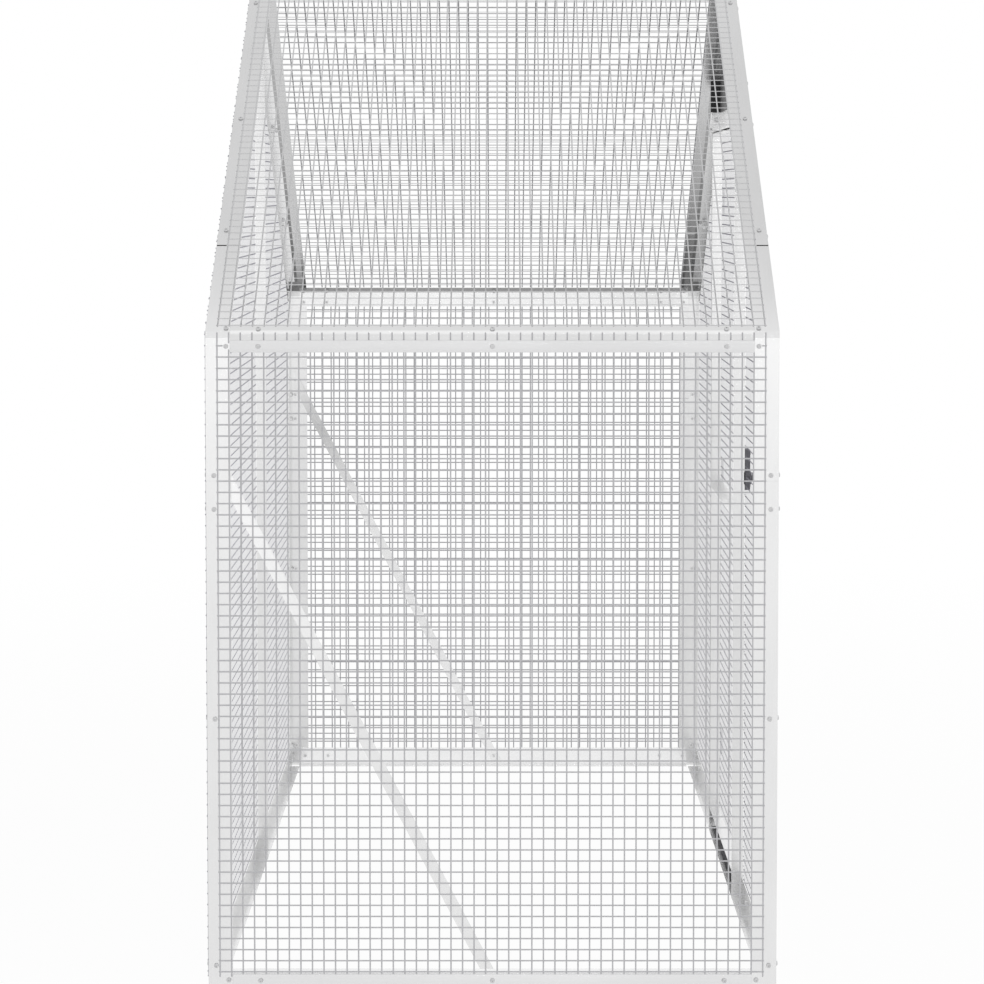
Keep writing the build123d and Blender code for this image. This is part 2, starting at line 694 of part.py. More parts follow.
def door_lintel():
    """Angle over the doorway, between the jambs."""
    reach = JAMB_FAR - WALL
    corner = (JAMB_OUTER - WALL, -reach, DOORWAY_TOP)
    bar = angle_bar(corner, (0, 2 * reach, 0), (0, 0, 1), LINTEL_FLANGE, (-1, 0, 0), LINTEL_FOOT)
    return drilled(bar)


def panel_fold(y_side):
    """Side of the apex panel, folded inwards over the lintel."""
    low = DOORWAY_TOP + LINTEL_FLANGE + PANEL_GAP
    y_low, y_high = sorted((y_side * PANEL_REACH, y_side * (PANEL_REACH - WALL)))
    side = block((JAMB_OUTER - PANEL_FOLD, y_low, low), (JAMB_OUTER, y_high, RIDGE_HEIGHT))
    return below(side, under_liner(y_side))


def apex_panel():
    """Sheet that closes the gable over the lintel, with its sides folded inwards."""
    low = DOORWAY_TOP + LINTEL_FLANGE - PANEL_LAP
    inside = 2 * WALL + TOP_GAP
    outline = [
        (-PANEL_REACH, low),
        (PANEL_REACH, low),
        (PANEL_REACH, roof_height(PANEL_REACH, inside)),
        (0, roof_height(0, inside)),
        (-PANEL_REACH, roof_height(PANEL_REACH, inside)),
    ]
    sheet = plate(RIGHT, outline, -3 * WALL, -2 * WALL)
    return drilled(sheet.fuse(panel_fold(-1), panel_fold(1)))


def door_sill():
    """Strip on the foot of the right base rail, under the door."""
    reach = JAMB_EDGE - SILL_GAP
    x_low = HALF_WIDTH - WALL - RAIL_FOOT + SILL_INSET
    return block((x_low, -reach, WALL), (x_low + SILL_WIDTH, reach, WALL + SILL_HEIGHT))


# Mesh panels

def clipped(points, edge_start, edge_end, margin):
    """Part of a convex outline at least a margin to the left of an edge."""
    (ax, ay), (bx, by) = edge_start, edge_end
    length = hypot(bx - ax, by - ay)
    kept = []
    depths = [((bx - ax) * (y - ay) - (by - ay) * (x - ax)) / length - margin for x, y in points]
    for here, (point, depth) in enumerate(zip(points, depths)):
        before, depth_before = points[here - 1], depths[here - 1]
        if (depth < 0) != (depth_before < 0):
            share = depth_before / (depth_before - depth)
            x = before[0] + share * (point[0] - before[0])
            y = before[1] + share * (point[1] - before[1])
            kept.append((x, y))
        if depth >= 0:
            kept.append(point)
    return kept


def outline_area(points):
    """Area inside an outline."""
    pairs = zip(points, points[1:] + points[:1])
    return abs(sum(ax * by - bx * ay for (ax, ay), (bx, by) in pairs)) / 2


def net_gaps(outline, pitch):
    """Outlines of the gaps of a mesh panel, trimmed to its edge wires."""
    us = [u for u, _ in outline]
    vs = [v for _, v in outline]
    columns = round((max(us) - min(us)) / pitch)
    rows = round((max(vs) - min(vs)) / pitch)
    u_step = (max(us) - min(us)) / columns
    v_step = (max(vs) - min(vs)) / rows
    gaps = []
    for column in range(columns):
        for row in range(rows):
            u_low = min(us) + column * u_step + WIRE / 2
            v_low = min(vs) + row * v_step + WIRE / 2
            gap = rectangle(u_low, v_low, u_low + u_step - WIRE, v_low + v_step - WIRE)
            for start, end in zip(outline, outline[1:] + outline[:1]):
                gap = clipped(gap, start, end, WIRE)
            if len(gap) > 2 and outline_area(gap) > (4 * WIRE) ** 2:
                gaps.append(gap)
    return gaps


def net(plane, outline, pitch, height=0.0):
    """Flat mesh panel on the outside of a plane, clear of the bolt heads that stand in it."""
    def wire_loop(points):
        return Wire.make_polygon([plane.from_local_coords((u, v, height)) for u, v in points])

    face = Face(wire_loop(outline), [wire_loop(gap) for gap in net_gaps(outline, pitch)])
    panel = Solid.extrude(face, plane.z_dir * WIRE)
    return drilled(panel, radius=BOLT_HEAD_RADIUS + HEAD_FIT)


def wall_net(plane):
    """Mesh of the front or rear wall."""
    reach = HALF_WIDTH - NET_INSET
    return net(plane, rectangle(-reach, NET_LOW, reach, EAVE_HEIGHT - NET_TOP_GAP), NET_PITCH)


def roof_net(plane):
    """Mesh of one slope."""
    reach = HALF_WIDTH - NET_INSET
    return net(plane, rectangle(-reach, ROOF_NET_START, reach, SLOPE - RIDGE_NET_GAP), NET_PITCH)


def left_net():
    """Mesh of the whole left gable."""
    reach = HALF_DEPTH - LEFT_NET_INSET
    shoulder = roof_height(reach, LEFT_NET_INSET)
    outline = [
        (-reach, NET_LOW),
        (reach, NET_LOW),
        (reach, shoulder),
        (0, roof_height(0, LEFT_NET_INSET)),
        (-reach, shoulder),
    ]
    return net(LEFT, outline, LEFT_NET_PITCH)


def right_net(y_side):
    """Mesh of the right gable, from a corner post to the door jamb."""
    near = JAMB_FAR - JAMB_NET_LAP
    far = HALF_DEPTH - NET_INSET
    low, high = sorted((y_side * near, y_side * far))
    outline = [
        (low, NET_LOW),
        (high, NET_LOW),
        (high, roof_height(high, NET_INSET)),
        (low, roof_height(low, NET_INSET)),
    ]
    return net(RIGHT, outline, NET_PITCH).cut(*jamb_hardware_rooms())


def jamb_hardware_rooms():
    """Blocks of room round the hinge leaves and the keeper on the jambs."""
    gap = CUTOUT_GAP
    rooms = []
    for level in HINGE_LEVELS:
        low = (JAMB_OUTER, HINGE_Y, level - HINGE_HEIGHT / 2 - gap)
        high = (CASE_FACE, HINGE_Y + JAMB_LEAF_REACH + gap, level + HINGE_HEIGHT / 2 + gap)
        rooms.append(block(low, high))
    y_low, y_high = keeper_span()
    z_half = KEEPER_HEIGHT / 2 + gap
    low = (JAMB_OUTER, y_low - gap, LATCH_LEVEL - z_half)
    high = (CASE_FACE, y_high + gap, LATCH_LEVEL + z_half)
    rooms.append(block(low, high))
    return rooms


# Hinges

def hinge_knuckles():
    """Heights of the lower, middle and upper knuckles of a hinge, from its middle."""
    half = HINGE_HEIGHT / 2
    lower = (-half, -half + KNUCKLE_HEIGHT)
    middle = (-KNUCKLE_HEIGHT / 2, KNUCKLE_HEIGHT / 2)
    upper = (half - KNUCKLE_HEIGHT, half)
    return lower, middle, upper


def hinge_leaf(level, spans, toward, reach, back):
    """Leaf with its knuckles; toward is the way it lies from the pin, back is where it is seated."""
    face = DOOR_FACE + LEAF_THICK
    half = HINGE_HEIGHT / 2
    near = KNUCKLE_RADIUS + LEAF_GAP
    y_low, y_high = sorted((HINGE_Y + toward * near, HINGE_Y + toward * reach))
    leaf = block((back, y_low, level - half), (face, y_high, level + half))
    pieces = []
    for low, high in spans:
        tongue_low, tongue_high = sorted((HINGE_Y, HINGE_Y + toward * near))
        pieces.append(block((DOOR_FACE, tongue_low, level + low), (face, tongue_high, level + high)))
        pieces.append(rod((HINGE_X, HINGE_Y, level + low), (0, 0, 1), KNUCKLE_RADIUS, high - low))
    bore = rod((HINGE_X, HINGE_Y, level - half), (0, 0, 1), PIN_RADIUS + PIN_FIT, HINGE_HEIGHT)
    return leaf.fuse(*pieces).cut(bore)


def hinge_jamb_leaves():
    """Hinge leaves on the rear jamb."""
    lower, _, upper = hinge_knuckles()
    leaves = [hinge_leaf(level, (lower, upper), 1, JAMB_LEAF_REACH, JAMB_OUTER) for level in HINGE_LEVELS]
    return [riveted(leaf, jamb_rivets()) for leaf in leaves]


def hinge_door_leaves():
    """Hinge leaves on the rear stile of the door."""
    _, middle, _ = hinge_knuckles()
    leaves = [hinge_leaf(level, (middle,), -1, DOOR_LEAF_REACH, DOOR_FACE) for level in HINGE_LEVELS]
    return [riveted(leaf, door_rivets()) for leaf in leaves]


def hinge_pins():
    """Pins of the hinges, headed at both ends."""
    up = (0, 0, 1)
    pins = []
    for level in HINGE_LEVELS:
        low = level - HINGE_HEIGHT / 2
        pin = rod((HINGE_X, HINGE_Y, low), up, PIN_RADIUS, HINGE_HEIGHT)
        foot = rod((HINGE_X, HINGE_Y, low - PIN_HEAD_HEIGHT), up, PIN_HEAD_RADIUS, PIN_HEAD_HEIGHT)
        head = rod((HINGE_X, HINGE_Y, low + HINGE_HEIGHT), up, PIN_HEAD_RADIUS, PIN_HEAD_HEIGHT)
        pins.append(pin.fuse(foot, head))
    return pins


# Door

def door_bar(start, end, inward):
    """Mitred angle of the door frame; its outer edge runs from start to end."""
    length = hypot(end[0] - start[0], end[1] - start[1])
    along = ((end[0] - start[0]) / length, (end[1] - start[1]) / length)

    def band(outer, inner):
        corners = []
        ends = ((start, 1, outer), (end, -1, outer), (end, -1, inner), (start, 1, inner))
        for (u, v), way, depth in ends:
            u_step = (inward[0] + way * along[0]) * depth
            v_step = (inward[1] + way * along[1]) * depth
            corners.append((u + u_step, v + v_step))
        return corners

    low, high = DOOR_BACK - HALF_WIDTH, DOOR_FACE - HALF_WIDTH
    face = plate(RIGHT, band(0, DOOR_LEG), low, high)
    return face.fuse(plate(RIGHT, band(DOOR_LEG - WALL, DOOR_LEG), high - DOOR_LEG, high))


def door_frame():
    """Stiles and rails of the door."""
    front_low, rear_low = (-DOOR_HALF, DOOR_LOW), (DOOR_HALF, DOOR_LOW)
    front_high, rear_high = (-DOOR_HALF, DOOR_HIGH), (DOOR_HALF, DOOR_HIGH)
    reach = DOOR_HALF - DOOR_LEG
    low, high = DOOR_BACK - HALF_WIDTH, DOOR_FACE - HALF_WIDTH
    mid_outline = rectangle(-reach, MID_RAIL_LOW, reach, MID_RAIL_LOW + DOOR_LEG)
    shelf_outline = rectangle(-reach, MID_RAIL_LOW, reach, MID_RAIL_LOW + WALL)
    mid_face = plate(RIGHT, mid_outline, low, high)
    mid_shelf = plate(RIGHT, shelf_outline, high - DOOR_LEG, high)
    return {
        "door_latch_stile": riveted(door_bar(front_low, front_high, (1, 0)), door_rivets()),
        "door_hinge_stile": riveted(door_bar(rear_low, rear_high, (-1, 0)), door_rivets()),
        "door_bottom_rail": door_bar(front_low, rear_low, (0, 1)),
        "door_top_rail": door_bar(front_high, rear_high, (0, -1)),
        "door_mid_rail": mid_face.fuse(mid_shelf),
    }


def door_net():
    """Mesh of the door, cut out round the hinge leaves and the latch case."""
    reach = DOOR_HALF - DOOR_NET_INSET
    outline = rectangle(-reach, DOOR_LOW + DOOR_NET_INSET, reach, DOOR_HIGH - DOOR_NET_INSET)
    panel = net(RIGHT, outline, NET_PITCH, DOOR_FACE - HALF_WIDTH)
    gap = CUTOUT_GAP
    rooms = []
    for level in HINGE_LEVELS:
        low = (DOOR_FACE, HINGE_Y - DOOR_LEAF_REACH - gap, level - HINGE_HEIGHT / 2 - gap)
        high = (CASE_FACE, HINGE_Y, level + HINGE_HEIGHT / 2 + gap)
        rooms.append(block(low, high))
    low = (DOOR_FACE, CASE_FRONT - gap, CASE_LOW - gap)
    high = (CASE_FACE, CASE_FRONT + CASE_WIDTH + gap, CASE_LOW + CASE_HEIGHT + gap)
    rooms.append(block(low, high))
    return panel.cut(*rooms)


# Latch

def keeper_span():
    """Front and rear ends of the keeper along the jamb."""
    rear = -(DOOR_HALF + DOOR_CLEAR)
    return rear - KEEPER_WIDTH, rear


def latch_slot(fit, y_low, y_high):
    """Block of the latch bolt's section with room round it."""
    x_half = LATCH_BOLT_THICK / 2 + fit
    z_half = LATCH_BOLT_HEIGHT / 2 + fit
    low = (LATCH_X - x_half, y_low, LATCH_LEVEL - z_half)
    high = (LATCH_X + x_half, y_high, LATCH_LEVEL + z_half)
    return block(low, high)


def knob_rest():
    """Middle of the knob along the case, with the bolt drawn back."""
    return LATCH_TIP + LATCH_BOLT_LENGTH - STEM_WIDTH


def latch_case():
    """Moulded case of the latch, with a channel for the bolt and a slot for its knob."""
    low = (DOOR_FACE, CASE_FRONT, CASE_LOW)
    high = (CASE_FACE, CASE_FRONT + CASE_WIDTH, CASE_LOW + CASE_HEIGHT)
    case = block(low, high)
    case = case.fillet(CASE_ROUND, case.faces().sort_by(Axis.X)[-1].edges())
    channel = latch_slot(SLIDE_FIT, CASE_FRONT - CASE_EDGE, LATCH_TIP + LATCH_BOLT_LENGTH + SLIDE_FIT)
    stem_half = STEM_WIDTH / 2 + SLIDE_FIT
    slot_low = (LATCH_X, knob_rest() - LATCH_THROW - stem_half, LATCH_LEVEL - stem_half)
    slot_high = (CASE_FACE, knob_rest() + stem_half, LATCH_LEVEL + stem_half)
    return riveted(case.cut(channel, block(slot_low, slot_high)), door_rivets())


def latch_bolt():
    """Sliding bolt with its knob, drawn back."""
    bar = latch_slot(0, LATCH_TIP, LATCH_TIP + LATCH_BOLT_LENGTH)
    stem_half = STEM_WIDTH / 2
    middle = knob_rest()
    stem_low = (LATCH_X, middle - stem_half, LATCH_LEVEL - stem_half)
    stem_high = (CASE_FACE + KNOB_REACH / 2, middle + stem_half, LATCH_LEVEL + stem_half)
    knob_low = (CASE_FACE + KNOB_GAP, middle - KNOB_WIDTH / 2, LATCH_LEVEL - KNOB_HEIGHT / 2)
    knob_high = (CASE_FACE + KNOB_REACH, middle + KNOB_WIDTH / 2, LATCH_LEVEL + KNOB_HEIGHT / 2)
    knob = block(knob_low, knob_high)
    knob = knob.fillet(KNOB_ROUND, knob.faces().sort_by(Axis.X)[-1].edges())
    return bar.fuse(block(stem_low, stem_high), knob)


def latch_keeper():
    """Keeper on the front jamb, which the bolt slides into."""
    y_low, y_high = keeper_span()
    z_half = KEEPER_HEIGHT / 2
    keeper = block((JAMB_OUTER, y_low, LATCH_LEVEL - z_half), (CASE_FACE, y_high, LATCH_LEVEL + z_half))
    slot = latch_slot(KEEPER_FIT, y_low, y_high)
    return riveted(keeper.cut(slot), jamb_rivets())


def aviary():
    """All the pieces, by name; a list is a group of like pieces."""
    parts = {}
    parts.update(posts())
    parts["post_liners"] = post_liners()
    parts.update(rafters())
    parts["rafter_liners"] = rafter_liners()
    for name, y_side in SIDES_Y:
        parts[f"eave_rail_{name}"] = eave_rail(y_side)
        parts[f"brace_{name}"] = brace(y_side)
        parts[f"door_jamb_{name}"] = door_jamb(y_side)
        parts[f"net_{name}"] = wall_net(WALLS[y_side])
        parts[f"net_roof_{name}"] = roof_net(ROOFS[y_side])
        parts[f"net_right_{name}"] = right_net(y_side)
    parts["ridge_rail"] = ridge_rail()
    parts.update(base_rails())
    parts["eave_strips"] = eave_strips()
    parts["base_strips"] = base_strips()
    parts["king_post"] = king_post()
    parts["door_lintel"] = door_lintel()
    parts["apex_panel"] = apex_panel()
    parts["door_sill"] = door_sill()
    parts["net_left"] = left_net()
    parts["hinge_jamb_leaves"] = hinge_jamb_leaves()
    parts["hinge_pins"] = hinge_pins()
    parts["latch_keeper"] = latch_keeper()
    parts["frame_bolts"] = [bolt(fastener) for fastener in BOLTS]
    parts["frame_nuts"] = [nut(fastener) for fastener in BOLTS]
    parts["frame_rivets"] = [rivet(fastener) for fastener in brace_rivets() + jamb_rivets()]
    parts.update(door_frame())
    parts["net_door"] = door_net()
    parts["hinge_door_leaves"] = hinge_door_leaves()
    parts["latch_case"] = latch_case()
    parts["door_rivets"] = [rivet(fastener) for fastener in door_rivets()]
    parts["latch_bolt"] = latch_bolt()
    return parts


def main():
    """Write each piece to its own file."""
    os.makedirs("parts", exist_ok=True)
    for name, shape in aviary().items():
        pieces = shape if isinstance(shape, list) else [shape]
        solids = [solid for piece in pieces for solid in piece.solids()]
        export_step(solids[0] if len(solids) == 1 else Compound(solids), f"parts/{name}.step")
        print(name, len(solids))


main()
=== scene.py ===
"""Looks of the walk-in aviary: welded wire mesh on an aluminium angle frame, with a hinged door.

Metres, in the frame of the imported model: +Z is up, the front wall faces -Y, and the door is in
the right gable, at +X.
"""
import logging
import math
from collections.abc import Callable
from dataclasses import dataclass, field
from enum import Enum

import bpy
import numpy as np
from mathutils import Euler, Matrix, Vector


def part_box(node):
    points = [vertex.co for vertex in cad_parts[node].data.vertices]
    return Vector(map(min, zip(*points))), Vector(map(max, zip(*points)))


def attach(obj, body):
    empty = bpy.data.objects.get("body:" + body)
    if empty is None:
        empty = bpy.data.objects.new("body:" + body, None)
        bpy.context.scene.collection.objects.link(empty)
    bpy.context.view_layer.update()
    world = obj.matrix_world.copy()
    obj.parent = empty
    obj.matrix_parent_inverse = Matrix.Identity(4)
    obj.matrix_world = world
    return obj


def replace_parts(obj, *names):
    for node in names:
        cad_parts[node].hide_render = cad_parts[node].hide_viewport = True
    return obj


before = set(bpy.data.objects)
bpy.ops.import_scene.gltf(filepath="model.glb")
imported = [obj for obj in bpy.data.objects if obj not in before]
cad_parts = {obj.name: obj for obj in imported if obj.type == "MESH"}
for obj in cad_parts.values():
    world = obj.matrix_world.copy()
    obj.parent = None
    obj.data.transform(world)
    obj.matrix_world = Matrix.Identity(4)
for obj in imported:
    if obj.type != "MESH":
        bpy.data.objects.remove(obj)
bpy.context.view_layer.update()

LOG = logging.getLogger("aviary")

Piece = bpy.types.Object
Material = bpy.types.Material
Socket = bpy.types.NodeSocket
Test = Callable[[Vector, Vector], bool]
Triple = tuple[float, float, float]
Colour = Triple
Span = tuple[float, float]
Flat = tuple[float, float]
Patch = tuple[float, float, float, float]
Levels = tuple[tuple[float, float], ...]

X, Y, Z = Vector((1, 0, 0)), Vector((0, 1, 0)), Vector((0, 0, 1))

# Cosine past which a face counts as looking a given way
SQUARE_ON = 0.9
# Difference in length that doesn't matter
HAIR = 1e-5
# Length that shanks and wires are modelled with, before each copy gets its own
UNIT = 1.0


# Bench tools

def let_go() -> None:
    """Leave edit mode and deselect everything."""
    if bpy.context.object and bpy.context.object.mode != "OBJECT":
        bpy.ops.object.mode_set(mode="OBJECT")
    bpy.ops.object.select_all(action="DESELECT")


def take(piece: Piece, *others: Piece) -> None:
    """Select pieces, the first one active.

    Args:
        piece: the piece to make active.
        others: further pieces to select.
    """
    let_go()
    for each in (piece, *others):
        each.select_set(True)
    bpy.context.view_layer.objects.active = piece


def clear_picks(piece: Piece) -> None:
    """Take a piece with none of its corners, edges and faces picked.

    Args:
        piece: the mesh piece.
    """
    take(piece)
    for part in (piece.data.vertices, piece.data.edges, piece.data.polygons):
        part.foreach_set("select", [False] * len(part))


def pick_faces(piece: Piece, test: Test) -> None:
    """Enter edit mode with the faces selected that pass a test of their middle and normal.

    Args:
        piece: the mesh piece to edit.
        test: called with a face's middle and normal, says whether the face is picked.
    """
    clear_picks(piece)
    for polygon in piece.data.polygons:
        polygon.select = bool(test(polygon.center, polygon.normal))
    bpy.context.tool_settings.mesh_select_mode = (False, False, True)
    bpy.ops.object.mode_set(mode="EDIT")


def pick_edges(piece: Piece, test: Test) -> None:
    """Enter edit mode with the edges selected that pass a test of their two ends.

    Args:
        piece: the mesh piece to edit.
        test: called with an edge's two ends, says whether the edge is picked.
    """
    clear_picks(piece)
    corners = piece.data.vertices
    for edge in piece.data.edges:
        edge.select = bool(test(*(corners[index].co for index in edge.vertices)))
    bpy.context.tool_settings.mesh_select_mode = (False, True, False)
    bpy.ops.object.mode_set(mode="EDIT")


def pull(way: Vector | Triple) -> None:
    """Pull new walls out of the picked faces, along a way."""
    bpy.ops.mesh.extrude_region_move(TRANSFORM_OT_translate={"value": way})


def put_down() -> None:
    """Leave edit mode."""
    bpy.ops.object.mode_set(mode="OBJECT")


def smooth(piece: Piece, degrees: float) -> None:
    """Shade a piece smooth across edges flatter than an angle."""
    take(piece)
    bpy.ops.object.shade_smooth_by_angle(angle=math.radians(degrees))


def rod(sides: int, radius: float, length: float, middle: float) -> Piece:
    """Model an upright rod over the origin.

    Args:
        sides: number of its flat sides.
        radius: its radius.
        length: its length.
        middle: height of its middle.

    Returns:
        The rod.
    """
    let_go()
    bpy.ops.mesh.primitive_cylinder_add(vertices=sides, radius=radius, depth=length, location=(0, 0, middle))
    bpy.ops.object.transform_apply(location=True)
    return bpy.context.object


def copy_mesh(pattern: Piece, name: str) -> Piece:
    """Copy a pattern, with a mesh of its own, into the scene.

    Args:
        pattern: the piece to copy.
        name: name of the copy.

    Returns:
        The copy.
    """
    piece = bpy.data.objects.new(name, pattern.data.copy())
    bpy.context.scene.collection.objects.link(piece)
    return piece


def gather(pieces: list[Piece], name: str) -> Piece:
    """Join pieces into one.

    Args:
        pieces: what to join; they are used up.
        name: name of the joined piece.

    Returns:
        The joined piece.
    """
    take(*pieces)
    if len(pieces) > 1:
        bpy.ops.object.join()
    joined = bpy.context.view_layer.objects.active
    joined.name = name
    joined.data.name = name
    return joined


def throw_away(piece: Piece) -> None:
    """Remove a pattern that isn't needed any more.

    Args:
        piece: the pattern.
    """
    mesh = piece.data
    bpy.data.objects.remove(piece)
    bpy.data.meshes.remove(mesh)


def dress(piece: Piece, material: Material) -> None:
    """Give a piece one material.

    Args:
        piece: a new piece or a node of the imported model.
        material: what it is made of.
    """
    if not piece.material_slots:
        piece.data.materials.append(material)
    for place in piece.material_slots:
        place.material = material


def solids_of(node: str) -> list[np.ndarray]:
    """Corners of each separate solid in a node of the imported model.

    Args:
        node: name of the node.

    Returns:
        One array of points for each solid.
    """
    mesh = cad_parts[node].data
    places = np.array([corner.co for corner in mesh.vertices])
    keys, same = np.unique(np.round(places, 6), axis=0, return_inverse=True)
    same = same.reshape(-1)
    root = list(range(len(keys)))

    def top(index: int) -> int:
        """First point of the group that a point belongs to.

        Args:
            index: the point.

        Returns:
            The first point.
        """
        while root[index] != index:
            root[index] = root[root[index]]
            index = root[index]
        return index

    for polygon in mesh.polygons:
        first, *rest = [same[index] for index in polygon.vertices]
        for other in rest:
            root[top(other)] = top(first)
    groups: dict[int, list[int]] = {}
    for index in range(len(keys)):
        groups.setdefault(top(index), []).append(index)
    return [keys[members] for members in groups.values()]


class Wall(Enum):
    """Walls of the aviary, each with the way that it faces."""

    FRONT = (0.0, -1.0, 0.0)
    REAR = (0.0, 1.0, 0.0)
    LEFT = (-1.0, 0.0, 0.0)
    RIGHT = (1.0, 0.0, 0.0)

    @property
    def label(self) -> str:
        """The wall's word in the names of nodes and pieces."""
        return self.name.lower()

    @property
    def out(self) -> Vector:
        """The way that the wall faces."""
        return Vector(self.value)


# Finishes

# Grey mixed into the aluminium as painted shade: under the bars, in the seams, along edges and on the inside
# of rails
PAINTED_SHADE_GREY: Colour = (0.07, 0.07, 0.07)
# White mixed into the wire as painted light on its outer and upward side
LIGHT_WHITE: Colour = (1.0, 1.0, 1.0)


class Grain(Enum):
    """Turn that brings the upright grain of a bar along its length."""

    UPRIGHT = (0.0, 0.0, 0.0)
    ALONG_X = (0.0, 90.0, 0.0)
    ALONG_Y = (-90.0, 0.0, 0.0)
    FRONT_SLOPE = (-55.1, 0.0, 0.0)
    REAR_SLOPE = (55.1, 0.0, 0.0)
    BRACE = (0.0, -28.5, 0.0)

    @property
    def label(self) -> str:
        """The grain's word in the names of materials."""
        return self.name.lower()

    def turned(self, way: Vector) -> Vector:
        """A way of the upright bar, turned with it."""
        return Euler([math.radians(angle) for angle in self.value]).to_matrix() @ way


class Board:
    """A board of shader nodes, with short ways to add to it."""

    def __init__(self, tree: bpy.types.NodeTree) -> None:
        """Work on a tree of nodes."""
        self.tree = tree

    def add(self, kind: str, **settings: object) -> bpy.types.Node:
        """Add a node.

        Args:
            kind: type of the node.
            settings: properties of the node, or default values of its inputs.

        Returns:
            The new node.
        """
        node = self.tree.nodes.new(kind)
        for key, value in settings.items():
            if hasattr(node, key):
                setattr(node, key, value)
            else:
                node.inputs[key].default_value = value
        return node

    def join(self, source: Socket, target: Socket) -> None:
        """Link two sockets."""
        self.tree.links.new(source, target)

    def reckoned(self, operation: str, *values: Socket | float) -> Socket:
        """A value worked out from others.

        Args:
            operation: what is done with them.
            values: sockets and plain numbers, in order.

        Returns:
            The result.
        """
        node = self.add("ShaderNodeMath", operation=operation)
        for value, target in zip(values, node.inputs):
            if isinstance(value, float):
                target.default_value = value
            else:
                self.join(value, target)
        return node.outputs[0]

    def seen(self) -> Socket:
        """What the camera sees, plainly or in metal or glass, against light that falls on things.

        Returns:
            1 for what is seen and 0 for the light.
        """
        path = self.add("ShaderNodeLightPath").outputs
        plain_or_metal = self.reckoned("MAXIMUM", path["Is Camera Ray"], path["Is Glossy Ray"])
        return self.reckoned("MAXIMUM", plain_or_metal, path["Is Transmission Ray"])

    def show(self, share: Socket, first: Socket, second: Socket, end: str) -> None:
        """Mix two shaders and send them out.

        Args:
            share: how much of the second one is shown.
            first: one shader.
            second: the other shader.
            end: name of the node that they go to.
        """
        mix = self.add("ShaderNodeMixShader")
        for source, target in zip((share, first, second), mix.inputs):
            self.join(source, target)
        self.join(mix.outputs[0], self.tree.nodes[end].inputs["Surface"])


